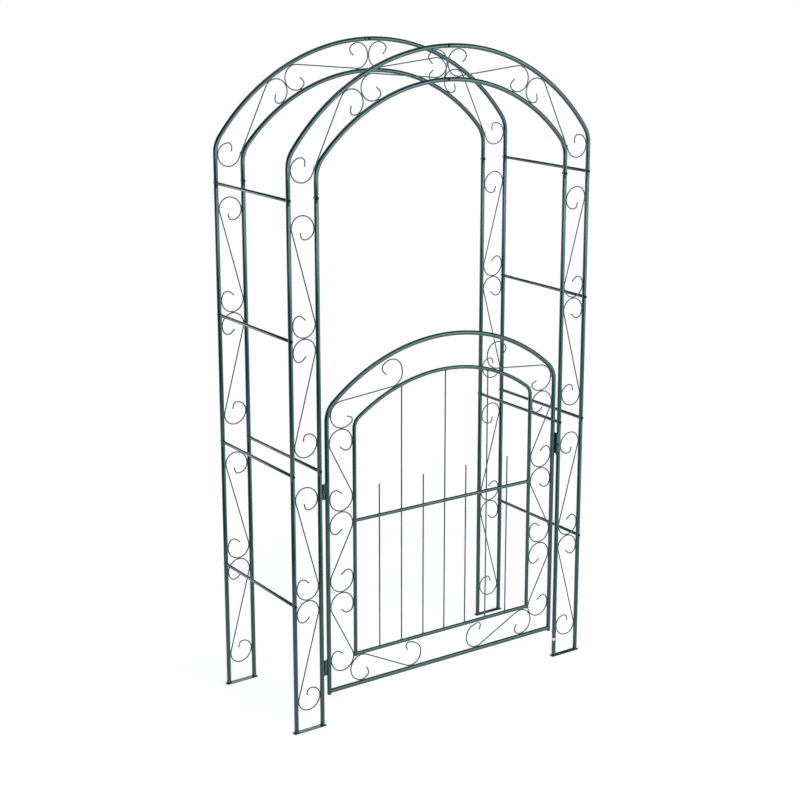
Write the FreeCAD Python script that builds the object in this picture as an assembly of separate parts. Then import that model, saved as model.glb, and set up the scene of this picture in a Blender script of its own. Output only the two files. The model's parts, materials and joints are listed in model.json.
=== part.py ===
"""Garden arch with a low gate, in millimetres.

Two equal tube frames stand one behind the other, joined by cross rungs. Each frame is an outer and an
inner hoop made of three sections a side, with wire scrolls between the hoops. A gate with a curved top
hangs in the plane of the front frame on two lift-off hinges, and a turn button holds it shut.

X runs across the arch, with the hinges at -X. The gate is on the -Y side. Z is up, with 0 on the ground.
Shapes that lie in a frame's plane are drawn for the right side, and side = -1 mirrors them to the left.
"""

import FreeCAD
import Part
import math
import os

from FreeCAD import Vector

# Frame tubes
TUBE_D = 14.5
TUBE_R = TUBE_D / 2
TUBE_WALL = 0.8
OUTER_X = 575.0
LADDER_GAP = 97.0
INNER_X = OUTER_X - LADDER_GAP
FRAME_Y = 222.5

# Hoops: a bend at the shoulder leads into one large arc up to the crown
BEND_R = 93.0
OUTER_ARC_R = 690.0
OUTER_CROWN_Z = 2136.5
INNER_ARC_R = 600.0
INNER_CROWN_Z = 2034.0

# Rungs, and the joints between tube sections just below a rung
RUNG_D = 10.5
RUNG_WALL = 0.8
RUNG_FIRST_Z = 432.0
RUNG_PITCH = 425.0
RUNG_LEVELS = [RUNG_FIRST_Z + RUNG_PITCH * i for i in range(4)]
JOINT_DROP = 13.5
MID_JOINT_Z = RUNG_LEVELS[1] - JOINT_DROP
TOP_JOINT_Z = RUNG_LEVELS[3] - JOINT_DROP
NECK_LENGTH = 32.0
NECK_GAP = 0.05

# Bolts and screws
BOLT_R = 2.5
BOLT_HOLE_R = 2.65
BOLT_HEAD_R = 4.75
BOLT_HEAD_H = 3.0
BOLT_IN_RUNG = 15.0
PLUG_LENGTH = 18.0
NUT_ACROSS_FLATS = 8.0
NUT_H = 4.0

# Foot plates
FOOT_T = 2.5
FOOT_W = 18.0
FOOT_OVERHANG = 4.0
FOOT_CORNER_R = 4.0
FOOT_HOLE_R = 3.2
FOOT_HOLE_SPACING = 40.0

# Scroll wire and gate bars
SCROLL_R = 2.0
BAR_R = 2.25

# Leg scrolls: ends of each pair, and its middle, where the two wires touch
LOWER_PAIR = (70.0, 441.5, 813.0)
UPPER_PAIR = (910.0, 1284.5, 1659.0)

# Arch scrolls: height of the lowest loop, and lean from the crown of the loop at the first wire's top
ARCH_SCROLL_FOOT_Z = 1795.3
ARCH_SCROLL_LEAN = 33.3

# Gate
GATE_X = 451.0
GATE_ARC_R = 644.6
GATE_CROWN_Z = 1228.4
GATE_BEND_R = 74.3
GATE_FOOT_Z = 104.1
GATE_CAP_H = 2.5
GATE_CAP_PLUG = 9.0
GATE_RAIL_Z = 112.4
GATE_INNER_D = 12.5
GATE_INNER_X = 350.0
GATE_INNER_ARC_R = 567.3
GATE_INNER_CROWN_Z = 1115.0
GATE_INNER_BEND_R = 41.3
GATE_INNER_RAIL_Z = 216.6
GATE_MIDDLE_RAIL_D = 11.5
GATE_MIDDLE_RAIL_Z = 670.4
BAR_PITCH = 85.5
SHORT_BAR_TOP_Z = 775.6
GATE_SCROLL_BOTTOM_Z = 172.2
GATE_SCROLL_PITCH = 270.2

# Hinges: axis midway in the gap between the leg tube and the gate's stile
HINGE_X = -(INNER_X + GATE_X) / 2
HINGE_LEVELS = (172.0, 762.0)
HINGE_R = 5.5
HINGE_POST_H = 16.0
HINGE_WASHER_H = 1.0
HINGE_TOTAL_H = 50.0
HINGE_PIN_R = 3.0
HINGE_PIN_TOP = 47.0
HINGE_TAB_W = 6.0
HINGE_CLEARANCE = 0.05

# Latch
LATCH_BOTTOM_Z = 747.0
LATCH_TOP_Z = 820.0
LATCH_T = 3.0
LATCH_LIP_Y = TUBE_R + 0.35
LATCH_STOP_X = 449.0
LATCH_FRONT_X = 459.2
LATCH_PIVOT_X = 465.0
LATCH_PIVOT_R = 2.0
BUTTON_LENGTH = 72.0
BUTTON_W = 11.0
BUTTON_GRIP_R = 2.5
BUTTON_GRIP_H = 8.0
BUTTON_GRIP_DROP = 29.0
RIVET_HEAD_R = 4.2
RIVET_HEAD_H = 2.0
PLAY = 0.1

# Plated screw low on the front right inner leg tube
LEG_SCREW_Z = 65.0
LEG_SCREW_HEAD_R = 6.0
LEG_SCREW_HEAD_H = 1.6
LEG_SCREW_TURN = 45.0

# The end of a scroll, from the large loop inwards: (radius, sweep in degrees), radius 0 for a straight run
HOOK = [(45.0, 25.0), (19.0, 108.0), (0.0, 15.0)]


def step_end(point, heading, radius, amount):
    """Where one step of a flat path ends, its middle point, and the heading there.

    point is (x, z) and heading is in degrees. A radius of 0 is a straight run of length amount; otherwise
    amount is the sweep in degrees, positive to the left.
    """
    angle = math.radians(heading)
    if radius == 0:
        end = (point[0] + amount * math.cos(angle), point[1] + amount * math.sin(angle))
        return end, None, heading
    side = 1 if amount > 0 else -1
    centre = (point[0] - side * radius * math.sin(angle), point[1] + side * radius * math.cos(angle))

    def at(sweep):
        turned = angle + math.radians(sweep)
        return (centre[0] + side * radius * math.sin(turned), centre[1] - side * radius * math.cos(turned))

    return at(amount), at(amount / 2), heading + amount


def follow(start, heading, steps):
    """The end point and end heading of a flat path."""
    point = start
    for radius, amount in steps:
        point, _, heading = step_end(point, heading, radius, amount)
    return point, heading


def sweep_tube(start, heading, steps, radius, side=1, y=0.0):
    """A round bar along a flat path of straight runs and tangent arcs, in the plane at y."""

    def place(point):
        return Vector(side * point[0], y, point[1])

    edges = []
    point = start
    direction = heading
    for bend, amount in steps:
        end, middle, direction = step_end(point, direction, bend, amount)
        if bend == 0:
            edges.append(Part.LineSegment(place(point), place(end)).toShape())
        else:
            edges.append(Part.Arc(place(point), place(middle), place(end)).toShape())
        point = end
    angle = math.radians(heading)
    along = Vector(side * math.cos(angle), 0, math.sin(angle))
    profile = Part.Face(Part.Wire(Part.Circle(place(start), along, radius).toShape()))
    return Part.Wire(edges).makePipe(profile)


def hollow_tube(start, heading, steps, diameter, wall, side=1, y=0.0):
    """A round tube along a flat path."""
    outside = sweep_tube(start, heading, steps, diameter / 2, side, y)
    inside = sweep_tube(start, heading, steps, diameter / 2 - wall, side, y)
    return outside.cut(inside)


def upright(x, y, z0, z1, radius):
    """A round bar along Z."""
    return Part.makeCylinder(radius, z1 - z0, Vector(x, y, z0))


def across(x, y0, y1, z, radius):
    """A round bar along Y."""
    return Part.makeCylinder(radius, y1 - y0, Vector(x, y0, z), Vector(0, 1, 0))


def level(x0, x1, y, z, radius):
    """A round bar along X."""
    return Part.makeCylinder(radius, x1 - x0, Vector(x0, y, z), Vector(1, 0, 0))


def shoulder(tube_x, arc_r, crown_z, bend_r):
    """Where a hoop leaves its straight leg, and how far its bend and its large arc turn.

    Returns the height of the bend's start, the bend's sweep and the arc's sweep to the crown, in degrees.
    """
    lean = math.asin((tube_x - bend_r) / (arc_r - bend_r))
    bend_z = crown_z - arc_r + (arc_r - bend_r) * math.cos(lean)
    return bend_z, 90.0 - math.degrees(lean), math.degrees(lean)


# Frame tubes

def leg_section(x, y, z0, z1):
    """A straight leg tube whose reduced neck stands up into the section above."""
    neck_r = TUBE_R - TUBE_WALL - NECK_GAP
    shape = upright(x, y, z0, z1, TUBE_R)
    shape = shape.fuse(upright(x, y, z1, z1 + NECK_LENGTH, neck_r)).removeSplitter()
    shape = shape.cut(upright(x, y, z0, z1 - TUBE_WALL, TUBE_R - TUBE_WALL))
    return shape.cut(upright(x, y, z1 - TUBE_WALL, z1 + NECK_LENGTH, neck_r - TUBE_WALL))


def arch_section(tube_x, arc_r, crown_z, side, y):
    """Half a hoop. The left half ends in a neck, which the right half slips over at the crown."""
    bend_z, bend_sweep, arc_sweep = shoulder(tube_x, arc_r, crown_z, BEND_R)
    start = (tube_x, TOP_JOINT_Z)
    leg_and_bend = [(0, bend_z - TOP_JOINT_Z), (BEND_R, bend_sweep)]
    joint_turn = math.degrees(JOINT_DROP / arc_r)
    steps = leg_and_bend + [(arc_r, arc_sweep + side * joint_turn)]
    if side > 0:
        return hollow_tube(start, 90.0, steps, TUBE_D, TUBE_WALL, side, y)
    neck_r = TUBE_R - TUBE_WALL - NECK_GAP
    end, heading = follow(start, 90.0, steps)
    neck = sweep_tube(end, heading, [(arc_r, math.degrees(NECK_LENGTH / arc_r))], neck_r, side, y)
    shape = sweep_tube(start, 90.0, steps, TUBE_R, side, y).fuse(neck).removeSplitter()
    wall_turn = math.degrees(TUBE_WALL / arc_r)
    steps = leg_and_bend + [(arc_r, arc_sweep + side * joint_turn - wall_turn)]
    end, heading = follow(start, 90.0, steps)
    bore = [(arc_r, math.degrees(NECK_LENGTH / arc_r) + wall_turn)]
    shape = shape.cut(sweep_tube(start, 90.0, steps, TUBE_R - TUBE_WALL, side, y))
    return shape.cut(sweep_tube(end, heading, bore, neck_r - TUBE_WALL, side, y))


def bolt_holes(x, y, levels):
    """Cross holes through a tube at the given heights."""
    reach = TUBE_D
    return [across(x, y - reach, y + reach, z, BOLT_HOLE_R) for z in levels]


def frame_tubes():
    """The 24 tube sections, by name."""
    tubes = {}
    crown = {"outer": OUTER_CROWN_Z, "inner": INNER_CROWN_Z}
    for face, y in (("front", -FRAME_Y), ("back", FRAME_Y)):
        for hand, side in (("left", -1), ("right", 1)):
            for hoop, x, arc_r in (("outer", OUTER_X, OUTER_ARC_R), ("inner", INNER_X, INNER_ARC_R)):
                stem = f"{face}_{hand}_{hoop}"
                rungs = RUNG_LEVELS if hoop == "outer" else [RUNG_LEVELS[1], RUNG_LEVELS[3]]
                cuts = bolt_holes(side * x, y, rungs) + bolt_holes(0.0, y, [crown[hoop]])
                lower = leg_section(side * x, y, FOOT_T, MID_JOINT_Z)
                upper = leg_section(side * x, y, MID_JOINT_Z, TOP_JOINT_Z)
                arch = arch_section(x, arc_r, crown[hoop], side, y)
                tubes[f"{stem}_lower_tube"] = lower.cut(cuts)
                tubes[f"{stem}_upper_tube"] = upper.cut(cuts)
                tubes[f"{stem}_arch_tube"] = arch.cut(cuts)
    return tubes


def foot_plate(side, y):
    """The strip under one leg, with two anchor holes."""
    length = LADDER_GAP + TUBE_D + 2 * FOOT_OVERHANG
    middle = side * (OUTER_X + INNER_X) / 2
    plate = Part.makeBox(length, FOOT_W, FOOT_T, Vector(middle - length / 2, y - FOOT_W / 2, 0))
    corners = [e for e in plate.Edges if abs(e.Vertexes[0].Z - e.Vertexes[1].Z) > FOOT_T / 2]
    plate = plate.makeFillet(FOOT_CORNER_R, corners)
    for offset in (-FOOT_HOLE_SPACING / 2, FOOT_HOLE_SPACING / 2):
        plate = plate.cut(upright(middle + offset, y, 0, FOOT_T, FOOT_HOLE_R))
    return plate


# Rungs and their bolts

def rung(x, z):
    """A tube between the frames, with a threaded plug in each end."""
    end_y = FRAME_Y - TUBE_R
    shape = across(x, -end_y, end_y, z, RUNG_D / 2)
    shape = shape.cut(across(x, PLUG_LENGTH - end_y, end_y - PLUG_LENGTH, z, RUNG_D / 2 - RUNG_WALL))
    for face in (-1, 1):
        ends = sorted((face * end_y, face * (end_y - BOLT_IN_RUNG)))
        shape = shape.cut(across(x, ends[0], ends[1], z, BOLT_R))
    return shape


def headed_bolt(x, z, face, length, head_r=BOLT_HEAD_R):
    """A round-headed bolt whose head rests on a frame tube's outer side, front (-1) or back (1)."""
    seat = face * (FRAME_Y + TUBE_R)
    inward = Vector(0, -face, 0)
    shank = Part.makeCylinder(BOLT_R, length, Vector(x, seat, z), inward)
    head = Part.makeCylinder(head_r, BOLT_HEAD_H, Vector(x, seat + face * BOLT_HEAD_H, z), inward)
    rim = [e for e in head.Edges if e.BoundBox.YLength < 1e-6 and abs(e.BoundBox.YMin - seat) > BOLT_HEAD_H / 2]
    return head.makeFillet(BOLT_HEAD_H * 0.6, rim).fuse(shank)


def rung_places():
    """(x, z) of every rung, grouped by node."""
    outer = {f"{hand}_outer_rungs": [(side * OUTER_X, z) for z in RUNG_LEVELS]
             for hand, side in (("left", -1), ("right", 1))}
    inner = {"inner_rungs": [(side * INNER_X, RUNG_LEVELS[1]) for side in (-1, 1)]}
    return {**outer, **inner}


def joint_places():
    """(x, z) of the screws that pass right through a frame tube."""
    legs = [(side * INNER_X, RUNG_LEVELS[3]) for side in (-1, 1)]
    return legs + [(0.0, OUTER_CROWN_Z), (0.0, INNER_CROWN_Z)]


def hexagon_nut(x, z, face):
    """A nut on the inner side of a frame's tube, with the screw's bore."""
    seat = face * (FRAME_Y - TUBE_R)
    points = []
    for i in range(7):
        angle = math.radians(60 * i)
        reach = NUT_ACROSS_FLATS / 2 / math.cos(math.radians(30))
        points.append(Vector(x + reach * math.cos(angle), seat, z + reach * math.sin(angle)))
    body = Part.Face(Part.makePolygon(points)).extrude(Vector(0, -face * NUT_H, 0))
    return body.cut(Part.makeCylinder(BOLT_R, NUT_H, Vector(x, seat, z), Vector(0, -face, 0)))


# Scrolls

def scroll(loop_a, ends_a, loop_b, ends_b, turn, side, y):
    """One S-shaped wire: two loops joined by a straight run that is tangent to both.

    loop_a and loop_b are the loops' centres (x, z). ends_a and ends_b list each curl's steps outwards from
    the straight run, the loop itself first. turn is 1 where the wire winds anticlockwise round loop_a.
    """
    radii = ends_a[0][0] + ends_b[0][0]
    dx = loop_b[0] - loop_a[0]
    dz = loop_b[1] - loop_a[1]
    angle = math.atan2(dz, dx) + turn * math.asin(radii / math.hypot(dx, dz))
    off = (turn * math.sin(angle), -turn * math.cos(angle))
    point_a = (loop_a[0] + ends_a[0][0] * off[0], loop_a[1] + ends_a[0][0] * off[1])
    point_b = (loop_b[0] - ends_b[0][0] * off[0], loop_b[1] - ends_b[0][0] * off[1])
    run = math.hypot(point_b[0] - point_a[0], point_b[1] - point_a[1])
    heading = math.degrees(angle)
    outward_a = [(r, amount if r == 0 else -turn * amount) for r, amount in ends_a]
    outward_b = [(r, amount if r == 0 else -turn * amount) for r, amount in ends_b]
    start, last = follow(point_a, heading + 180.0, outward_a)
    inward_a = [(r, amount if r == 0 else turn * amount) for r, amount in reversed(ends_a)]
    return sweep_tube(start, last + 180.0, inward_a + [(0, run)] + outward_b, SCROLL_R, side, y)


def leg_scrolls(side, y):
    """Two pairs of scrolls between a leg's tubes. The pair's wires touch in the middle."""
    near_outer = OUTER_X - TUBE_R - SCROLL_R
    near_inner = INNER_X + TUBE_R + SCROLL_R
    loop_r = (near_outer - near_inner) / 2
    low_loop_r = loop_r - 3.25
    wide_r = near_outer - near_inner - low_loop_r
    far = [(low_loop_r, 105.0), (wide_r, 90.0), (31.0, 95.0), (13.5, 75.0), (0, 11.0)]
    meet = [(loop_r, 195.0)] + HOOK
    wires = []
    for bottom, middle, top in (LOWER_PAIR, UPPER_PAIR):
        low = (near_outer - low_loop_r, bottom + low_loop_r)
        high = (near_outer - low_loop_r, top - low_loop_r)
        below = (near_inner + loop_r, middle - SCROLL_R - loop_r)
        above = (near_inner + loop_r, middle + SCROLL_R + loop_r)
        wires.append(scroll(low, far, below, meet, 1, side, y))
        wires.append(scroll(high, far, above, meet, -1, side, y))
    return wires


def band_point(lean, loop_r, arc_r, crown_z, gap):
    """Centre of a loop that touches a hoop's underside at the given lean from the crown, in degrees."""
    reach = arc_r - gap - loop_r
    angle = math.radians(lean)
    return (reach * math.sin(angle), crown_z - arc_r + reach * math.cos(angle))


def arch_scrolls(side, y):
    """The two scrolls between the hoops of one arch half."""
    gap = TUBE_R + SCROLL_R
    near_outer = OUTER_X - gap
    foot_r = (near_outer - INNER_X - gap) / 2
    foot = (near_outer - foot_r, ARCH_SCROLL_FOOT_Z)
    foot_curl = [(foot_r, 158.0), (35.0, 90.0), (14.0, 92.0), (0, 12.0)]
    loop_r = 41.0
    turn = math.degrees((2 * loop_r + 2 * SCROLL_R) / (OUTER_ARC_R - gap - loop_r))
    upper = band_point(ARCH_SCROLL_LEAN, loop_r, OUTER_ARC_R, OUTER_CROWN_Z, gap)
    lower = band_point(ARCH_SCROLL_LEAN - turn, loop_r, OUTER_ARC_R, OUTER_CROWN_Z, gap)
    upper_curl = [(loop_r, 205.0), (24.0, 50.0), (13.0, 90.0), (0, 13.0)]
    lower_curl = [(loop_r, 190.0), (34.0, 45.0), (14.0, 90.0), (0, 14.0)]
    crown_r = 40.0
    crown_x = SCROLL_R + crown_r + 0.1
    crown = (crown_x, INNER_CROWN_Z + gap + crown_r - crown_x ** 2 / (2 * INNER_ARC_R) + 0.1)
    run = math.hypot(lower[0] - crown[0], lower[1] - crown[1])
    rise = math.degrees(math.atan2(crown[1] - lower[1], lower[0] - crown[0]))
    to_upright = 90.0 + math.degrees(math.asin((loop_r + crown_r) / run)) - rise
    crown_curl = [(crown_r, to_upright), (0, 3.6), (crown_r, 90.0), (33.0, 55.0), (13.0, 80.0), (0, 15.0)]
    first = scroll(foot, foot_curl, upper, upper_curl, -1, side, y)
    second = scroll(lower, lower_curl, crown, crown_curl, 1, side, y)
    return [first, second]


# Gate

def gate_hoop(tube_x, diameter, arc_r, crown_z, bend_r, foot_z):
    """A stile, shoulder, arc, shoulder and stile, bent from one tube."""
    bend_z, bend_sweep, arc_sweep = shoulder(tube_x, arc_r, crown_z, bend_r)
    rise = bend_z - foot_z
    steps = [(0, rise), (bend_r, bend_sweep), (arc_r, 2 * arc_sweep), (bend_r, bend_sweep), (0, rise)]
    return hollow_tube((tube_x, foot_z), 90.0, steps, diameter, TUBE_WALL, 1, -FRAME_Y)


def gate_stile_cap(x):
    """The domed plug that closes the bottom of a stile."""
    head = upright(x, -FRAME_Y, GATE_FOOT_Z - GATE_CAP_H, GATE_FOOT_Z, TUBE_R)
    rim = [e for e in head.Edges if e.BoundBox.ZMax < GATE_FOOT_Z - GATE_CAP_H / 2]
    head = head.makeFillet(GATE_CAP_H * 0.8, rim)
    plug_r = TUBE_R - TUBE_WALL - NECK_GAP
    return head.fuse(upright(x, -FRAME_Y, GATE_FOOT_Z, GATE_FOOT_Z + GATE_CAP_PLUG, plug_r)).removeSplitter()


def gate_rail(half_span, z, diameter, stile_x, stile_r):
    """A tube between two stiles, its ends shaped to fit them."""
    shape = level(-half_span, half_span, -FRAME_Y, z, diameter / 2)
    shape = shape.cut(level(-half_span, half_span, -FRAME_Y, z, diameter / 2 - TUBE_WALL))
    for side in (-1, 1):
        shape = shape.cut(upright(side * stile_x, -FRAME_Y, z - TUBE_D, z + TUBE_D, stile_r))
    return shape


def gate_bar(x, top):
    """A bar that stands on the inner rail and passes through the middle rail. top None ends at the arc."""
    rail_top = GATE_INNER_RAIL_Z + GATE_INNER_D / 2
    if top is None:
        reach = GATE_INNER_ARC_R - GATE_INNER_D / 2
        top = GATE_INNER_CROWN_Z - GATE_INNER_ARC_R + math.sqrt(reach ** 2 - (abs(x) + BAR_R) ** 2)
    return upright(x, -FRAME_Y, rail_top, top, BAR_R)


def side_scroll_loop():
    """X of the middle of the gap between the gate's stiles, and the radius of a loop that fills it."""
    near_outer = GATE_X - TUBE_R - SCROLL_R
    near_inner = GATE_INNER_X + GATE_INNER_D / 2 + SCROLL_R
    return (near_outer + near_inner) / 2, (near_outer - near_inner) / 2


def gate_side_scrolls(side):
    """Three scrolls one above the other between the stiles, turned over by turns."""
    x, loop_r = side_scroll_loop()
    curl = [(loop_r, 203.0)] + HOOK
    wires = []
    for i in range(3):
        bottom = GATE_SCROLL_BOTTOM_Z + i * GATE_SCROLL_PITCH
        low = (x, bottom + loop_r)
        high = (x, bottom + GATE_SCROLL_PITCH - 2 * SCROLL_R - loop_r)
        turn = 1 if i % 2 else -1
        wires.append(scroll(low, curl, high, curl, turn, side, -FRAME_Y))
    return wires


def gate_top_scroll(side):
    """The scroll between the gate's two arcs, standing on the top side scroll."""
    side_x, side_r = side_scroll_loop()
    loop_r = 43.5
    x = 392.9
    below = GATE_SCROLL_BOTTOM_Z + 3 * GATE_SCROLL_PITCH - 2 * SCROLL_R - side_r
    z = below + math.sqrt((side_r + loop_r + 2 * SCROLL_R) ** 2 - (side_x - x) ** 2)
    low_curl = [(loop_r, 178.0), (48.0, 40.0), (11.0, 118.0), (0, 12.0)]
    crown_r = 43.0
    rest = GATE_INNER_ARC_R + GATE_INNER_D / 2 + SCROLL_R + crown_r
    crown_x = 211.0
    crown = (crown_x, GATE_INNER_CROWN_Z - GATE_INNER_ARC_R + math.sqrt(rest ** 2 - crown_x ** 2))
    crown_curl = [(crown_r, 92.0), (0, 7.0), (39.0, 88.0), (43.0, 45.0), (16.0, 85.0), (0, 15.0)]
    return scroll((x, z), low_curl, crown, crown_curl, 1, side, -FRAME_Y)


def gate_bottom_scroll(side):
    """The scroll between the gate's bottom rail and the inner rail."""
    floor = GATE_RAIL_Z + TUBE_R + SCROLL_R
    ceiling = GATE_INNER_RAIL_Z - GATE_INNER_D / 2 - SCROLL_R
    loop_r = (ceiling - floor) / 2
    corner = (325.5, floor + loop_r)
    small_r = 40.0
    middle = (134.0, floor + small_r)
    corner_curl = [(loop_r, 200.0), (30.0, 60.0), (13.0, 62.0), (0, 15.0)]
    middle_curl = [(small_r, 170.0), (60.0, 32.0), (11.0, 118.0), (0, 12.0)]
    return scroll(corner, corner_curl, middle, middle_curl, 1, side, -FRAME_Y)


# Hinges

def hinge_tab(x0, x1, z0, z1):
    """The flat web between a hinge barrel and the tube that it is welded to."""
    return Part.makeBox(x1 - x0, HINGE_TAB_W, z1 - z0, Vector(x0, -FRAME_Y - HINGE_TAB_W / 2, z0))


def hinge_post_half(z):
    """Lower barrel on the leg, with its fixed pin standing up out of it."""
    barrel = upright(HINGE_X, -FRAME_Y, z, z + HINGE_POST_H, HINGE_R)
    tab = hinge_tab(-INNER_X, HINGE_X, z + 1, z + HINGE_POST_H - 1)
    tab = tab.cut(upright(-INNER_X, -FRAME_Y, z, z + HINGE_POST_H, TUBE_R))
    pin = upright(HINGE_X, -FRAME_Y, z, z + HINGE_PIN_TOP, HINGE_PIN_R)
    return barrel.fuse([tab, pin]).removeSplitter()


def hinge_washer(z):
    """The washer that the gate's half turns on."""
    base = z + HINGE_POST_H
    ring = upright(HINGE_X, -FRAME_Y, base, base + HINGE_WASHER_H, HINGE_R)
    return ring.cut(upright(HINGE_X, -FRAME_Y, base, base + HINGE_WASHER_H, HINGE_PIN_R + PLAY))


def hinge_gate_half(z):
    """Upper barrel on the gate, closed at its top, with the pin's bore."""
    base = z + HINGE_POST_H + HINGE_WASHER_H + PLAY
    top = z + HINGE_TOTAL_H
    barrel = upright(HINGE_X, -FRAME_Y, base, top, HINGE_R)
    rim = [e for e in barrel.Edges if e.BoundBox.ZMin > top - 1e-6]
    barrel = barrel.makeFillet(1.2, rim)
    tab = hinge_tab(HINGE_X, -GATE_X, base + 1, top - 2)
    tab = tab.cut(upright(-GATE_X, -FRAME_Y, base, top, TUBE_R))
    bore = upright(HINGE_X, -FRAME_Y, base, z + HINGE_PIN_TOP + 0.5, HINGE_PIN_R + HINGE_CLEARANCE)
    return barrel.fuse(tab).removeSplitter().cut(bore)


# Latch

def latch_bracket():
    """Folded strip beside the leg tube: stop lip behind the gate's stile, pivot lip in front of the gap."""
    inside = INNER_X - TUBE_R - LATCH_T
    outside = INNER_X - TUBE_R
    back = LATCH_LIP_Y - FRAME_Y
    front = -LATCH_LIP_Y - FRAME_Y
    outline = [
        (outside, front - LATCH_T), (outside, back + LATCH_T), (LATCH_STOP_X, back + LATCH_T),
        (LATCH_STOP_X, back), (inside, back), (inside, front), (LATCH_FRONT_X, front),
        (LATCH_FRONT_X, front - LATCH_T),
    ]
    points = [Vector(x, y, LATCH_BOTTOM_Z) for x, y in outline + outline[:1]]
    strip = Part.Face(Part.makePolygon(points)).extrude(Vector(0, 0, LATCH_TOP_Z - LATCH_BOTTOM_Z))
    folds = [e for e in strip.Edges if is_fold(e, outside)]
    strip = strip.makeFillet(LATCH_T * 0.8, folds)
    middle = (LATCH_BOTTOM_Z + LATCH_TOP_Z) / 2
    return strip.cut(across(LATCH_PIVOT_X, front - LATCH_T, front, middle, LATCH_PIVOT_R))


def is_fold(edge, x):
    """Whether an edge is one of the two upright outer corners at x."""
    box = edge.BoundBox
    return box.ZLength > 1.0 and abs(box.XMin - x) < 1e-6 and abs(box.XMax - x) < 1e-6


def button_plane():
    """Y of the turn button's front and back faces."""
    back = -FRAME_Y - LATCH_LIP_Y - LATCH_T - PLAY
    return back - LATCH_T, back


def turn_button():
    """Upright bar with round ends, a hole on the rivet and a grip at its lower end."""
    front, back = button_plane()
    middle = (LATCH_BOTTOM_Z + LATCH_TOP_Z) / 2
    reach = (BUTTON_LENGTH - BUTTON_W) / 2
    corner = Vector(LATCH_PIVOT_X - BUTTON_W / 2, front, middle - reach)
    bar = Part.makeBox(BUTTON_W, back - front, 2 * reach, corner)
    ends = [across(LATCH_PIVOT_X, front, back, middle + s * reach, BUTTON_W / 2) for s in (-1, 1)]
    grip = across(LATCH_PIVOT_X, front - BUTTON_GRIP_H, front, middle - BUTTON_GRIP_DROP, BUTTON_GRIP_R)
    bar = bar.fuse(ends + [grip]).removeSplitter()
    return bar.cut(across(LATCH_PIVOT_X, front, back, middle, LATCH_PIVOT_R + HINGE_CLEARANCE))


def latch_rivet():
    """Rivet through the bracket's lip, with a head in front of the button."""
    front, back = button_plane()
    middle = (LATCH_BOTTOM_Z + LATCH_TOP_Z) / 2
    lip_back = -FRAME_Y - LATCH_LIP_Y
    shank = across(LATCH_PIVOT_X, front - PLAY, lip_back, middle, LATCH_PIVOT_R)
    head = across(LATCH_PIVOT_X, front - PLAY - RIVET_HEAD_H, front - PLAY, middle, RIVET_HEAD_R)
    tail = across(LATCH_PIVOT_X, lip_back, lip_back + 0.8, middle, LATCH_PIVOT_R + 0.5)
    return shank.fuse([head, tail]).removeSplitter()


def leg_screw():
    """Plated round-headed screw in the front right inner leg tube, facing forwards and inwards."""
    turn = math.radians(LEG_SCREW_TURN)
    outwards = Vector(-math.sin(turn), -math.cos(turn), 0)
    seat = Vector(INNER_X, -FRAME_Y, LEG_SCREW_Z) + outwards * TUBE_R
    head = Part.makeCylinder(LEG_SCREW_HEAD_R, LEG_SCREW_HEAD_H, seat, outwards)
    shank = Part.makeCylinder(BOLT_R, TUBE_R, seat - outwards * TUBE_R, outwards)
    return head.fuse(shank)


def leg_screw_hole():
    """The plated screw's hole."""
    turn = math.radians(LEG_SCREW_TURN)
    outwards = Vector(-math.sin(turn), -math.cos(turn), 0)
    return Part.makeCylinder(BOLT_R, TUBE_D, Vector(INNER_X, -FRAME_Y, LEG_SCREW_Z), outwards)


# Assembly

def frame_parts():
    """Everything that stands still."""
    parts = frame_tubes()
    screwed = "front_right_inner_lower_tube"
    parts[screwed] = parts[screwed].cut(leg_screw_hole())
    for face, y in (("front", -FRAME_Y), ("back", FRAME_Y)):
        for hand, side in (("left", -1), ("right", 1)):
            parts[f"{face}_{hand}_foot_plate"] = foot_plate(side, y)
            parts[f"{face}_{hand}_leg_scrolls"] = leg_scrolls(side, y)
            parts[f"{face}_{hand}_arch_scrolls"] = arch_scrolls(side, y)
    bolts = []
    for name, places in rung_places().items():
        parts[name] = [rung(x, z) for x, z in places]
        bolts += [headed_bolt(x, z, face, TUBE_D + BOLT_IN_RUNG - 1) for x, z in places for face in (-1, 1)]
    parts["rung_bolts"] = bolts
    through = TUBE_D + NUT_H + 1.0
    faces = [(x, z, face) for x, z in joint_places() for face in (-1, 1)]
    parts["joint_screws"] = [headed_bolt(x, z, face, through) for x, z, face in faces]
    parts["joint_nuts"] = [hexagon_nut(x, z, face) for x, z, face in faces]
    parts["hinge_post_halves"] = [hinge_post_half(z) for z in HINGE_LEVELS]
    parts["hinge_washers"] = [hinge_washer(z) for z in HINGE_LEVELS]
    parts["latch_bracket"] = latch_bracket()
    parts["latch_rivet"] = latch_rivet()
    parts["leg_screw"] = leg_screw()
    return parts


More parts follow.
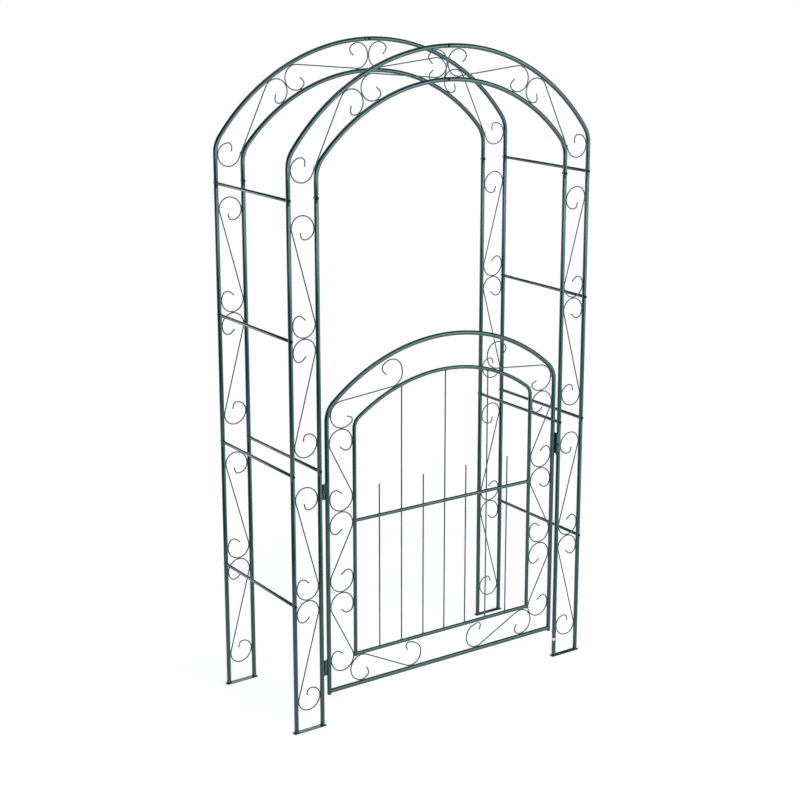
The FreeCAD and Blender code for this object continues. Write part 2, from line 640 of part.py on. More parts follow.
def gate_parts():
    """Everything that turns with the gate."""
    inner_r = GATE_INNER_D / 2
    long_bars = [gate_bar(i * BAR_PITCH, None) for i in (-2, 0, 2)]
    short_bars = [gate_bar(i * BAR_PITCH, SHORT_BAR_TOP_Z) for i in (-3, -1, 1, 3)]
    middle = gate_rail(GATE_INNER_X, GATE_MIDDLE_RAIL_Z, GATE_MIDDLE_RAIL_D, GATE_INNER_X, inner_r)
    return {
        "gate_outer_frame": gate_hoop(GATE_X, TUBE_D, GATE_ARC_R, GATE_CROWN_Z, GATE_BEND_R, GATE_FOOT_Z),
        "gate_inner_frame": gate_hoop(GATE_INNER_X, GATE_INNER_D, GATE_INNER_ARC_R, GATE_INNER_CROWN_Z,
                                      GATE_INNER_BEND_R, GATE_INNER_RAIL_Z - inner_r),
        "gate_stile_caps": [gate_stile_cap(side * GATE_X) for side in (-1, 1)],
        "gate_bottom_rail": gate_rail(GATE_X, GATE_RAIL_Z, TUBE_D, GATE_X, TUBE_R),
        "gate_inner_rail": gate_rail(GATE_INNER_X, GATE_INNER_RAIL_Z, GATE_INNER_D, GATE_INNER_X, inner_r),
        "gate_middle_rail": middle.cut(long_bars + short_bars),
        "gate_long_bars": long_bars,
        "gate_short_bars": short_bars,
        "gate_side_scrolls": gate_side_scrolls(-1) + gate_side_scrolls(1),
        "gate_top_scrolls": [gate_top_scroll(side) for side in (-1, 1)],
        "gate_bottom_scrolls": [gate_bottom_scroll(side) for side in (-1, 1)],
        "hinge_gate_halves": [hinge_gate_half(z) for z in HINGE_LEVELS],
    }


def main():
    """Builds every piece and writes one file for each."""
    os.makedirs("parts", exist_ok=True)
    parts = {**frame_parts(), **gate_parts(), "turn_button": turn_button()}
    for name, shape in parts.items():
        if isinstance(shape, list):
            shape = Part.makeCompound(shape)
        shape.exportStep(f"parts/{name}.step")
        print(name, len(shape.Solids), "solids", round(shape.Volume), "mm3", "ok" if shape.isValid() else "INVALID")
    print(len(parts), "parts")


main()
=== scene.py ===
"""Finish of a garden arch with a low gate, in metres.

Two tube frames stand one behind the other, joined by cross rungs. Wire scrolls fill the gap between the two
hoops of each frame, and a gate with a curved top hangs in the front frame. Every piece is drawn where the
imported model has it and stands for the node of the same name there. X runs across the arch, -Y is the front
and Z is up. Shapes are drawn for the right-hand side of the front frame and mirrored or shifted from there.
"""

import json
import logging
import math
from collections.abc import Callable, Iterator, Sequence
from contextlib import contextmanager
from dataclasses import dataclass, field
from enum import Enum

import bpy
from mathutils import Euler, Matrix, Vector

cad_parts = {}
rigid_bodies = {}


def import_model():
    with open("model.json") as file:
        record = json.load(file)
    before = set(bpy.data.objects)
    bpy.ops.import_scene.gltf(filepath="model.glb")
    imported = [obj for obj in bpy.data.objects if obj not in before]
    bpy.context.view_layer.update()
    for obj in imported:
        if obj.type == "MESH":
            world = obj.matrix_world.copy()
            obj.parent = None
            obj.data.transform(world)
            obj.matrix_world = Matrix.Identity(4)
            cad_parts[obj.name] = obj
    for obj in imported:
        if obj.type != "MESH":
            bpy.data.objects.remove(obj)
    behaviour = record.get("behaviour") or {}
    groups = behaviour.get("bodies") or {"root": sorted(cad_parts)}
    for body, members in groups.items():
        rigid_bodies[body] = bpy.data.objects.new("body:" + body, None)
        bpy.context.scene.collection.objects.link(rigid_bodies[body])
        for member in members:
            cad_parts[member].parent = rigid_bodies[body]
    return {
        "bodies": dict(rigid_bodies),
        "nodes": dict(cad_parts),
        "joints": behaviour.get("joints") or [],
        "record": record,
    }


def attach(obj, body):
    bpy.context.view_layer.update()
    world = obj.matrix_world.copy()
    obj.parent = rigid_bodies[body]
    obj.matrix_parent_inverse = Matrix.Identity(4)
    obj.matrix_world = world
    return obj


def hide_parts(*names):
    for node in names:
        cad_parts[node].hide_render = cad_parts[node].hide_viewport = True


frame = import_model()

LOG = logging.getLogger("garden_arch")

# Degrees between two faces past which the shading breaks at their edge, on machined parts and on welds
MACHINED = 30.0
WELDED = 80.0
# Degrees between two faces past which their edge is bevelled
SHARP = 50.0
# How far a cutter reaches past what it cuts
PAST = 0.01

Point = tuple[float, float]
Colour = tuple[float, float, float]


class Hand(Enum):
    """The two sides of the arch, as the sign of X."""

    LEFT = -1
    RIGHT = 1

    @property
    def word(self) -> str:
        """The side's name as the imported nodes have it."""
        return self.name.lower()


class Face(Enum):
    """The front and the back frame, as the sign of Y."""

    FRONT = -1
    BACK = 1

    @property
    def word(self) -> str:
        """The frame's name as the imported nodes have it."""
        return self.name.lower()

    def shift(self, frame_y: float) -> tuple[float, float, float]:
        """How far a piece moves from the front frame to this one, with each frame_y from the middle."""
        return (0, (1 + self.value) * frame_y, 0)


class Way(Enum):
    """How a scroll's wire winds round its first loop."""

    CLOCKWISE = -1
    ANTICLOCKWISE = 1


class Surface(Enum):
    """The finishes on the object, by the record's material slot."""

    PAINT = "green_paint"
    BLACK_STEEL = "dark_screws"
    ZINC = "plated_screw"
    BRASS = "washer_brass"


# Flat paths of bent tube and wire


@dataclass(frozen=True)
class Bend:
    """One stretch of a flat path.

    A radius of 0 is a straight run and amount its length. Otherwise amount is the sweep in degrees, positive
    to the left.
    """

    radius: float
    amount: float

    def turned(self, sign: int) -> "Bend":
        """The same stretch with its sweep multiplied by sign."""
        return self if self.radius == 0 else Bend(self.radius, sign * self.amount)


@dataclass(frozen=True)
class Stretch:
    """A bend that has been placed: its two ends, and the centre it turns round if it is an arc."""

    bend: Bend
    begin: Point
    end: Point
    centre: Point | None


@dataclass(frozen=True)
class FlatPath:
    """Centre line of a bent bar in a plane of constant Y, from a start point and a heading in degrees."""

    start: Point
    heading: float
    bends: tuple[Bend, ...]

    def stretches(self) -> Iterator[Stretch]:
        """Each bend in its place.

        Returns:
            The placed stretches in order.
        """
        point, heading = self.start, math.radians(self.heading)
        for bend in self.bends:
            if bend.radius == 0:
                end = (point[0] + bend.amount * math.cos(heading), point[1] + bend.amount * math.sin(heading))
                yield Stretch(bend, point, end, None)
            else:
                side = math.copysign(1.0, bend.amount)
                reach = side * bend.radius
                centre = (point[0] - reach * math.sin(heading), point[1] + reach * math.cos(heading))
                heading += math.radians(bend.amount)
                end = (centre[0] + reach * math.sin(heading), centre[1] - reach * math.cos(heading))
                yield Stretch(bend, point, end, centre)
            point = end

    def end(self) -> tuple[Point, float]:
        """The last point of the path and the heading there, in degrees."""
        last = list(self.stretches())[-1].end
        return last, self.heading + sum(b.amount for b in self.bends if b.radius)


@dataclass(frozen=True)
class Curl:
    """One end of a scroll: its large loop and the stretches that follow it inwards."""

    loop_radius: float
    loop_sweep: float
    tail: tuple[Bend, ...]

    def bends(self) -> tuple[Bend, ...]:
        """The loop and its tail as one row of stretches, turning left."""
        return (Bend(self.loop_radius, self.loop_sweep), *self.tail)


@dataclass(frozen=True)
class Scroll:
    """An S-shaped wire: two loops joined by a straight run that is tangent to both."""

    first: Point
    first_curl: Curl
    second: Point
    second_curl: Curl
    way: Way

    def path(self) -> FlatPath:
        """The wire's centre line from the tip of its first curl to the tip of its second.

        Returns:
            The flat path of the whole wire.
        """
        turn = self.way.value
        r1, r2 = self.first_curl.loop_radius, self.second_curl.loop_radius
        dx, dz = self.second[0] - self.first[0], self.second[1] - self.first[1]
        angle = math.atan2(dz, dx) + turn * math.asin((r1 + r2) / math.hypot(dx, dz))
        off = (turn * math.sin(angle), -turn * math.cos(angle))
        leave = (self.first[0] + r1 * off[0], self.first[1] + r1 * off[1])
        meet = (self.second[0] - r2 * off[0], self.second[1] - r2 * off[1])
        run = Bend(0, math.hypot(meet[0] - leave[0], meet[1] - leave[1]))
        heading = math.degrees(angle)
        outwards = tuple(b.turned(-turn) for b in self.first_curl.bends())
        tip, tip_heading = FlatPath(leave, heading + 180.0, outwards).end()
        inwards = tuple(b.turned(turn) for b in reversed(self.first_curl.bends()))
        onwards = tuple(b.turned(-turn) for b in self.second_curl.bends())
        return FlatPath(tip, tip_heading + 180.0, (*inwards, run, *onwards))


# Modelling


def nothing_selected() -> None:
    """Leaves every object unselected, in object mode."""
    if bpy.context.object and bpy.context.object.mode != "OBJECT":
        bpy.ops.object.mode_set(mode="OBJECT")
    bpy.ops.object.select_all(action="DESELECT")


def take(*pieces: bpy.types.Object) -> None:
    """Selects these pieces alone and makes the last one active."""
    nothing_selected()
    for piece in pieces:
        piece.select_set(True)
        bpy.context.view_layer.objects.active = piece


def settled(name: str) -> bpy.types.Object:
    """Names the new primitive and puts its place into its mesh.

    Args:
        name: The piece's name.

    Returns:
        The piece, with its object at the origin.
    """
    piece = bpy.context.object
    piece.name = piece.data.name = name
    bpy.ops.object.transform_apply(location=True, rotation=True, scale=True)
    return piece


@contextmanager
def editing(piece: bpy.types.Object, mode: str = "VERT") -> Iterator[None]:
    """Edit mode on one piece.

    Args:
        piece: The piece to edit.
        mode: VERT, EDGE or FACE, the kind of element that is selected.
    """
    take(piece)
    bpy.context.tool_settings.mesh_select_mode = tuple(mode == m for m in ("VERT", "EDGE", "FACE"))
    bpy.ops.object.mode_set(mode="EDIT")
    try:
        yield
    finally:
        bpy.ops.object.mode_set(mode="OBJECT")


def pick(piece: bpy.types.Object, kind: str, chosen: Sequence[bool]) -> None:
    """Leaves only the chosen elements of a piece selected, for the next time it is edited.

    Args:
        piece: The piece, in object mode.
        kind: What is chosen from: vertices, edges or polygons.
        chosen: Whether each of them is selected.
    """
    for name in ("vertices", "edges", "polygons"):
        row = getattr(piece.data, name)
        row.foreach_set("select", chosen if name == kind else [False] * len(row))


def pick_faces(piece: bpy.types.Object, wanted: Callable[[Vector, Vector], bool]) -> None:
    """Leaves only the wanted faces selected, by a test on a face's centre and normal."""
    pick(piece, "polygons", [wanted(face.center, face.normal) for face in piece.data.polygons])


def pick_edges(piece: bpy.types.Object, wanted: Callable[[Vector, Vector], bool]) -> None:
    """Leaves only the wanted edges selected, by a test on an edge's two ends."""
    ends = [vertex.co for vertex in piece.data.vertices]
    pick(piece, "edges", [wanted(*(ends[i] for i in edge.vertices)) for edge in piece.data.edges])


def round_rims(piece: bpy.types.Object, wanted: Callable[[Vector, Vector], bool], width: float,
               segments: int = 2) -> None:
    """Rounds the rim of each wanted flat face.

    Args:
        piece: The piece to change.
        wanted: A test on a face's centre and normal.
        width: How far the rounding reaches in from the rim.
        segments: How many facets it has.
    """
    pick_faces(piece, wanted)
    with editing(piece, "FACE"):
        bpy.ops.mesh.bevel(offset=width, segments=segments, affect="EDGES", clamp_overlap=True)


def soften(piece: bpy.types.Object, width: float, segments: int = 2) -> None:
    """Bevels every sharp edge of a piece.

    Args:
        piece: The piece to change.
        width: The bevel's width.
        segments: How many facets it has.
    """
    take(piece)
    bevel = piece.modifiers.new("rounded_edges", "BEVEL")
    bevel.width, bevel.segments = width, segments
    bevel.limit_method, bevel.angle_limit = "ANGLE", math.radians(SHARP)
    bevel.harden_normals = False
    bpy.ops.object.modifier_apply(modifier=bevel.name)


def carve(piece: bpy.types.Object, cutter: bpy.types.Object) -> None:
    """Takes one piece's volume out of another.

    Args:
        piece: The piece to change.
        cutter: What is taken out of it, and then removed.
    """
    take(piece)
    cut = piece.modifiers.new("cut", "BOOLEAN")
    cut.operation, cut.solver, cut.object = "DIFFERENCE", "EXACT", cutter
    bpy.ops.object.modifier_apply(modifier=cut.name)
    bpy.data.objects.remove(cutter)


def face_outwards(piece: bpy.types.Object) -> None:
    """Recalculates the normals of a closed piece so that they point out."""
    with editing(piece):
        bpy.ops.mesh.select_all(action="SELECT")
        bpy.ops.mesh.normals_make_consistent(inside=False)


def smooth(piece: bpy.types.Object, angle: float = 35.0) -> bpy.types.Object:
    """Shades a piece smooth apart from its sharp edges.

    Args:
        piece: The piece.
        angle: The least angle of a sharp edge, in degrees.

    Returns:
        The same piece.
    """
    take(piece)
    bpy.ops.object.shade_smooth_by_angle(angle=math.radians(angle))
    return piece


def shaded_plate(piece: bpy.types.Object, most_corners: int = 12) -> bpy.types.Object:
    """Shades a piece smooth with its broad faces flat, so that no shading fans out from their holes.

    Args:
        piece: A piece of flat plate.
        most_corners: A face with more corners than this is a broad one.

    Returns:
        The same piece.
    """
    smooth(piece, MACHINED)
    for face in piece.data.polygons:
        face.use_smooth = len(face.vertices) <= most_corners
    return piece


def twin(piece: bpy.types.Object, name: str, shift: Sequence[float] = (0, 0, 0),
         flip: Sequence[float] = (1, 1, 1), turn: Sequence[float] = (0, 0, 0)) -> bpy.types.Object:
    """A copy of a piece with its own mesh, flipped, turned and then shifted.

    Args:
        piece: The piece to copy.
        name: The copy's name.
        shift: How far it is moved.
        flip: Factors of 1 or -1 that mirror it through the origin's planes.
        turn: Angles about X, Y and Z in degrees.

    Returns:
        The copy, with its place in its mesh.
    """
    take(piece)
    bpy.ops.object.duplicate(linked=False)
    copy = bpy.context.object
    turned = Euler([math.radians(a) for a in turn])
    copy.matrix_world = Matrix.LocRotScale(Vector(shift), turned, Vector(flip))
    copy = settled(name)
    if flip[0] * flip[1] * flip[2] < 0:
        face_outwards(copy)
    return copy


def joined(name: str, pieces: Sequence[bpy.types.Object]) -> bpy.types.Object:
    """Makes one piece of several.

    Args:
        name: The name of the result.
        pieces: What it is made of, used up.

    Returns:
        The joined piece.
    """
    take(*pieces)
    if len(pieces) > 1:
        bpy.ops.object.join()
    piece = bpy.context.object
    piece.name = piece.data.name = name
    return piece


def rod(name: str, begin: Sequence[float], end: Sequence[float], radius: float,
        sides: int = 24) -> bpy.types.Object:
    """A straight round bar between two points.

    Args:
        name: The piece's name.
        begin: One end of its axis.
        end: The other end.
        radius: Its radius.
        sides: How many faces it has round its axis.

    Returns:
        The bar.
    """
    axis = Vector(end) - Vector(begin)
    middle = (Vector(end) + Vector(begin)) / 2
    nothing_selected()
    bpy.ops.mesh.primitive_cylinder_add(vertices=sides, radius=radius, depth=axis.length, location=middle,
                                        rotation=axis.to_track_quat("Z", "Y").to_euler())
    return settled(name)


def block(name: str, low: Sequence[float], high: Sequence[float]) -> bpy.types.Object:
    """A rectangular block.

    Args:
        name: The piece's name.
        low: Its lowest corner.
        high: Its highest corner.

    Returns:
        The block.
    """
    size = Vector(high) - Vector(low)
    nothing_selected()
    bpy.ops.mesh.primitive_cube_add(size=1.0, location=(Vector(high) + Vector(low)) / 2, scale=size)
    return settled(name)


def weld_ring(name: str, reach: float, bead_r: float, place: Sequence[float] = (0, 0, 0),
              turn: Sequence[float] = (0, 0, 0)) -> bpy.types.Object:
    """A ring of weld bead.

    Args:
        name: The piece's name.
        reach: From the ring's middle to the bead's centre line.
        bead_r: The bead's radius.
        place: The ring's middle.
        turn: How it is turned from lying flat, as angles about X, Y and Z in degrees.

    Returns:
        The ring.
    """
    nothing_selected()
    bpy.ops.mesh.primitive_torus_add(major_radius=reach, minor_radius=bead_r, major_segments=28,
                                     minor_segments=8, location=place,
                                     rotation=[math.radians(angle) for angle in turn])
    return settled(name)


def ripple(piece: bpy.types.Object, depth: float, scale: float) -> None:
    """Makes a weld's surface uneven.

    Args:
        piece: The weld.
        depth: How deep the waves are.
        scale: How long they are.
    """
    texture = bpy.data.textures.new("weld_waves", "CLOUDS")
    texture.noise_scale = scale
    take(piece)
    waves = piece.modifiers.new("waves", "DISPLACE")
    waves.texture, waves.strength, waves.mid_level = texture, depth, 0.5
    bpy.ops.object.modifier_apply(modifier=waves.name)


@dataclass(frozen=True)
class BentBar:
    """A round bar or tube, seen from outside, that follows a flat path."""

    path: FlatPath
    radius: float
    y: float
    sides: int
    sagitta: float = 0.00004

    def steps(self, bend: Bend) -> int:
        """How many facets an arc needs for its chords to stay within the sagitta."""
        step = 2 * math.degrees(math.acos(1 - self.sagitta / bend.radius))
        return max(2, math.ceil(abs(bend.amount) / step))

    def model(self, name: str) -> bpy.types.Object:
        """Draws the section as a circle and extrudes or spins it along the path.

        Args:
            name: The piece's name.

        Returns:
            The closed bar.
        """
        x, z = self.path.start
        nothing_selected()
        bpy.ops.mesh.primitive_circle_add(vertices=self.sides, radius=self.radius, location=(x, self.y, z),
                                          rotation=(0, math.radians(90.0 - self.path.heading), 0))
        bar = settled(name)
        with editing(bar):
            bpy.ops.mesh.select_all(action="SELECT")
            for part in self.path.stretches():
                if part.centre is None:
                    move = (part.end[0] - part.begin[0], 0, part.end[1] - part.begin[1])
                    bpy.ops.mesh.extrude_region_move(TRANSFORM_OT_translate={"value": move})
                else:
                    bpy.ops.mesh.spin(steps=self.steps(part.bend), angle=math.radians(part.bend.amount),
                                      center=(part.centre[0], self.y, part.centre[1]), axis=(0, 1, 0))
            bpy.ops.mesh.select_all(action="DESELECT")
            bpy.ops.mesh.select_non_manifold()
            bpy.ops.mesh.edge_face_add()
            bpy.ops.mesh.select_all(action="SELECT")
            bpy.ops.mesh.normals_make_consistent(inside=False)
        return bar

    def rounded(self, name: str, start_rim: float, end_rim: float) -> bpy.types.Object:
        """The bar with the rims of its two ends rounded.

        Args:
            name: The piece's name.
            start_rim: Width of the rounding at the start.
            end_rim: Width of the rounding at the end.

        Returns:
            The finished bar.
        """
        bar = self.model(name)
        for point, rim in ((self.path.start, start_rim), (self.path.end()[0], end_rim)):
            middle = Vector((point[0], self.y, point[1]))
            round_rims(bar, lambda centre, _, m=middle: (centre - m).length < self.radius / 2, rim)
        return smooth(bar)


# Finishes


class NodeTree:
    """A material's or group's node tree, with short ways to add and join nodes."""

    def __init__(self, tree: bpy.types.NodeTree) -> None:
        """Starts on an empty tree."""
        self.tree = tree
        tree.nodes.clear()

    def node(self, kind: str, **settings: object) -> bpy.types.Node:
        """Adds a node.

        Args:
            kind: Its type, without the ShaderNode prefix.
            settings: Its properties by name.

        Returns:
            The node.
        """
        made = self.tree.nodes.new(kind if kind.startswith("NodeGroup") else f"ShaderNode{kind}")
        for key, value in settings.items():
            setattr(made, key, value)
        return made

    def link(self, source: bpy.types.NodeSocket, target: bpy.types.NodeSocket) -> None:
        """Joins an output to an input."""
        self.tree.links.new(source, target)

    def feed(self, slot: bpy.types.NodeSocket, value: object) -> None:
        """Joins an output to an input, or sets the input to a plain value.

        Args:
            slot: The input.
            value: An output, or the value.
        """
        if isinstance(value, bpy.types.NodeSocket):
            self.link(value, slot)
        else:
            slot.default_value = value

    def maths(self, operation: str, first: object, second: object) -> bpy.types.NodeSocket:
        """A maths node on two sockets or numbers.

        Args:
            operation: The node's operation.
            first: The first operand.
            second: The second operand.

        Returns:
            The node's output.
        """
        made = self.node("Math", operation=operation)
        self.feed(made.inputs[0], first)
        self.feed(made.inputs[1], second)
        return made.outputs[0]

    def noise(self, vector: bpy.types.NodeSocket, scale: object, detail: float = 2.0) -> bpy.types.NodeSocket:
        """A noise texture's value.

        Args:
            vector: Where it is read.
            scale: A socket or a number.
            detail: How many finer layers it has.

        Returns:
            The noise as a value from 0 to 1.
        """
        made = self.node("TexNoise")
        made.inputs["Detail"].default_value = detail
        self.link(vector, made.inputs["Vector"])
        self.feed(made.inputs["Scale"], scale)
        return made.outputs["Fac"]

    def spread(self, value: bpy.types.NodeSocket, low: float, high: float, to_low: object = 0.0,
               to_high: object = 1.0) -> bpy.types.NodeSocket:
        """Maps a value's range low to high onto another, and clamps it there.

        Args:
            value: The value.
            low: Where the range begins.
            high: Where it ends.
            to_low: What low becomes.
            to_high: What high becomes.

        Returns:
            The mapped value.
        """
        made = self.node("MapRange", clamp=True)
        self.link(value, made.inputs["Value"])
        ends = {"From Min": low, "From Max": high, "To Min": to_low, "To Max": to_high}
        for name, number in ends.items():
            made.inputs[name].default_value = number
        return made.outputs["Result"]

    def blend(self, share: bpy.types.NodeSocket, low: object, high: object) -> bpy.types.NodeSocket:
        """A colour between two others.

        Args:
            share: How much of the second.
            low: The colour at 0, a socket or a colour.
            high: The colour at 1.

        Returns:
            The mixed colour.
        """
        made = self.node("Mix", data_type="RGBA")
        factor, first, second, mixed = made.inputs[0], made.inputs[6], made.inputs[7], made.outputs[2]
        self.link(share, factor)
        for slot, value in ((first, low), (second, high)):
            self.feed(slot, value if isinstance(value, bpy.types.NodeSocket) else (*value, 1.0))
        return mixed


class EffectGroup:
    """A shader node group that several finishes use: a vector and numbers in, one value out."""

    def __init__(self, name: str, numbers: dict[str, float], output: str) -> None:
        """Makes the group's sockets.

        Args:
            name: The group's name.
            numbers: Its number inputs and their defaults.
            output: Its output's name.
        """
        self.group = bpy.data.node_groups.new(name, "ShaderNodeTree")
        face = self.group.interface
        face.new_socket("Vector", in_out="INPUT", socket_type="NodeSocketVector")
        for key, value in numbers.items():
            face.new_socket(key, in_out="INPUT", socket_type="NodeSocketFloat").default_value = value
        face.new_socket(output, in_out="OUTPUT", socket_type="NodeSocketFloat")
        self.nodes = NodeTree(self.group)
        self.inside = self.nodes.node("NodeGroupInput")
        self.outside = self.nodes.node("NodeGroupOutput")

    def put(self, value: bpy.types.NodeSocket) -> None:
        """Sends a value to the output."""
        self.nodes.link(value, self.outside.inputs[0])

    def use(self, tree: NodeTree, vector: bpy.types.NodeSocket, **numbers: float) -> bpy.types.NodeSocket:
        """Places the group in a material.

        Args:
            tree: The material's tree.
            vector: The coordinates that it reads.
            numbers: Values for its inputs, by name.

        Returns:
            The group's output.
        """
        made = tree.node("Group", node_tree=self.group)
        tree.link(vector, made.inputs["Vector"])
        for key, value in numbers.items():
            made.inputs[key].default_value = value
        return made.outputs[0]


def orange_peel() -> EffectGroup:
    """The fine ripple of a baked powder coat, or the grain of a metal.

    Returns:
        A group that gives a height.
    """
    effect = EffectGroup("powder_coat_ripple", {"Scale": 420.0}, "Height")
    nodes, vector, scale = effect.nodes, effect.inside.outputs["Vector"], effect.inside.outputs["Scale"]
    ripple = nodes.noise(vector, scale, 1.0)
    fine = nodes.noise(vector, nodes.maths("MULTIPLY", scale, 3.1), 2.0)
    effect.put(nodes.maths("ADD", ripple, nodes.maths("MULTIPLY", fine, 0.35)))
    return effect


def settled_dust() -> EffectGroup:
    """Dust on what faces up, broken up by noise.

    Returns:
        A group that gives a mask.
    """
    effect = EffectGroup("settled_dust", {"Scale": 30.0, "Amount": 0.3}, "Mask")
    nodes, vector = effect.nodes, effect.inside.outputs["Vector"]
    facing = nodes.node("SeparateXYZ")
    nodes.link(nodes.node("NewGeometry").outputs["Normal"], facing.inputs[0])
    upwards = nodes.spread(facing.outputs["Z"], 0.35, 1.0)
    patches = nodes.spread(nodes.noise(vector, effect.inside.outputs["Scale"], 4.0), 0.42, 0.72)
    dust = nodes.maths("MULTIPLY", upwards, patches)
    effect.put(nodes.maths("MULTIPLY", dust, effect.inside.outputs["Amount"]))
    return effect


def handling_marks() -> EffectGroup:
    """Long faint rubs and small scuffs from packing and assembly.

    Returns:
        A group that gives a mask.
    """
    effect = EffectGroup("handling_marks", {"Scale": 60.0}, "Mask")
    nodes, vector, scale = effect.nodes, effect.inside.outputs["Vector"], effect.inside.outputs["Scale"]
    stretched = nodes.node("Mapping")
    stretched.inputs["Scale"].default_value = (1.0, 1.0, 0.12)
    nodes.link(vector, stretched.inputs["Vector"])
    rubs = nodes.spread(nodes.noise(stretched.outputs[0], scale, 3.0), 0.62, 0.78)
    scuffs = nodes.spread(nodes.noise(vector, nodes.maths("MULTIPLY", scale, 2.4), 5.0), 0.70, 0.80)
    effect.put(nodes.maths("MAXIMUM", rubs, scuffs))
    return effect


@dataclass
class Effects:
    """The shared groups, each made once."""

    peel: EffectGroup = field(default_factory=orange_peel)
    dust: EffectGroup = field(default_factory=settled_dust)
    marks: EffectGroup = field(default_factory=handling_marks)


def bumped(tree: NodeTree, height: bpy.types.NodeSocket, depth: float, shader: bpy.types.Node) -> None:
    """Gives a shader a bump.

    Args:
        tree: The material's tree.
        height: The bump's height, from 0 to about 1.
        depth: What a height of 1 stands for, in metres.
        shader: The shader.
    """
    bump = tree.node("Bump")
    bump.inputs["Strength"].default_value = 1.0
    bump.inputs["Distance"].default_value = depth
    tree.link(height, bump.inputs["Height"])
    tree.link(bump.outputs[0], shader.inputs["Normal"])


def new_shader(name: str) -> tuple[bpy.types.Material, NodeTree, bpy.types.Node, bpy.types.NodeSocket]:
    """An empty material with a Principled shader.

    Args:
        name: The material's name.

    Returns:
        The material, its tree, its shader and the Object coordinates.
    """
    material = bpy.data.materials.new(name)
    material.use_nodes = True
    tree = NodeTree(material.node_tree)
    shader = tree.node("BsdfPrincipled")
    tree.link(shader.outputs[0], tree.node("OutputMaterial").inputs[0])
    return material, tree, shader, tree.node("TexCoord").outputs["Object"]


@dataclass(frozen=True)
class PowderCoat:
    """Satin powder coat over steel."""

    name: str
    deep: Colour
    light: Colour
    dust: Colour
    bare: Colour
    roughness: float
    gloss: float
    gleam: Colour = (0.78, 1.0, 1.0)
    patch_scale: float = 9.0
    flow_scale: float = 55.0
    ripple_depth: float = 0.00002
    ripple_scale: float = 420.0
    mark_scale: float = 60.0
    mark_amount: float = 0.35
    dust_scale: float = 38.0
    dust_amount: float = 0.18

    def material(self, effects: Effects) -> bpy.types.Material:
        """Builds the paint: two greens in soft patches, ripple, rubs and a little dust.

        Args:
            effects: The shared node groups.

        Returns:
            The material.
        """
        material, tree, shader, where = new_shader(self.name)
        patches = tree.spread(tree.noise(where, self.patch_scale, 3.0), 0.35, 0.68)
        base = tree.blend(patches, self.deep, self.light)
        peel = effects.peel.use(tree, where, Scale=self.ripple_scale)
        marks = effects.marks.use(tree, where, Scale=self.mark_scale)
        dust = effects.dust.use(tree, where, Scale=self.dust_scale, Amount=self.dust_amount)
        rubbed = tree.blend(tree.maths("MULTIPLY", marks, self.mark_amount), base, self.bare)
        tree.link(tree.blend(dust, rubbed, self.dust), shader.inputs["Base Color"])
        dull = tree.maths("MULTIPLY", dust, 0.5)
        worn = tree.maths("MULTIPLY", marks, 0.12)
        flow = tree.noise(where, self.flow_scale, 3.0)
        uneven = tree.spread(flow, 0.3, 0.7, self.roughness - 0.05, self.roughness + 0.06)
        tree.link(tree.maths("ADD", uneven, tree.maths("ADD", dull, worn)), shader.inputs["Roughness"])
        shader.inputs["Specular IOR Level"].default_value = self.gloss
        shader.inputs["Specular Tint"].default_value = (*self.gleam, 1.0)
        bumped(tree, peel, self.ripple_depth, shader)
        return material


@dataclass(frozen=True)
class PlainMetal:
    """Bare or plated metal with a slightly uneven tone and fine rubs."""

    name: str
    tone: Colour
    shade: Colour
    roughness: float
    mottle_scale: float = 260.0
    mark_scale: float = 240.0
    grain_scale: float = 900.0
    grain_depth: float = 0.00001

    def material(self, effects: Effects) -> bpy.types.Material:
        """Builds the metal.

        Args:
            effects: The shared node groups.

        Returns:
            The material.
        """
        material, tree, shader, where = new_shader(self.name)
        mottle = tree.spread(tree.noise(where, self.mottle_scale, 3.0), 0.35, 0.7)
        marks = effects.marks.use(tree, where, Scale=self.mark_scale)
        tree.link(tree.blend(mottle, self.tone, self.shade), shader.inputs["Base Color"])
        shader.inputs["Metallic"].default_value = 1.0
        uneven = tree.spread(mottle, 0.0, 1.0, self.roughness, self.roughness + 0.12)
        rubbed = tree.maths("MULTIPLY", marks, 0.15)
        tree.link(tree.maths("ADD", uneven, rubbed), shader.inputs["Roughness"])
        grain = effects.peel.use(tree, where, Scale=self.grain_scale)
        bumped(tree, grain, self.grain_depth, shader)
        return material


FINISHES: dict[Surface, PowderCoat | PlainMetal] = {
    Surface.PAINT: PowderCoat("green_powder_coat", deep=(0.002, 0.030, 0.030), light=(0.004, 0.043, 0.043),
                              dust=(0.16, 0.18, 0.16), bare=(0.035, 0.075, 0.07), roughness=0.19, gloss=0.78),
    Surface.BLACK_STEEL: PlainMetal("blackened_steel", (0.012, 0.011, 0.012), (0.03, 0.03, 0.03), 0.30),
    Surface.ZINC: PlainMetal("zinc_plate", (0.80, 0.80, 0.78), (0.66, 0.67, 0.68), 0.22),
    Surface.BRASS: PlainMetal("brass", (0.34, 0.25, 0.11), (0.22, 0.17, 0.09), 0.38),
}


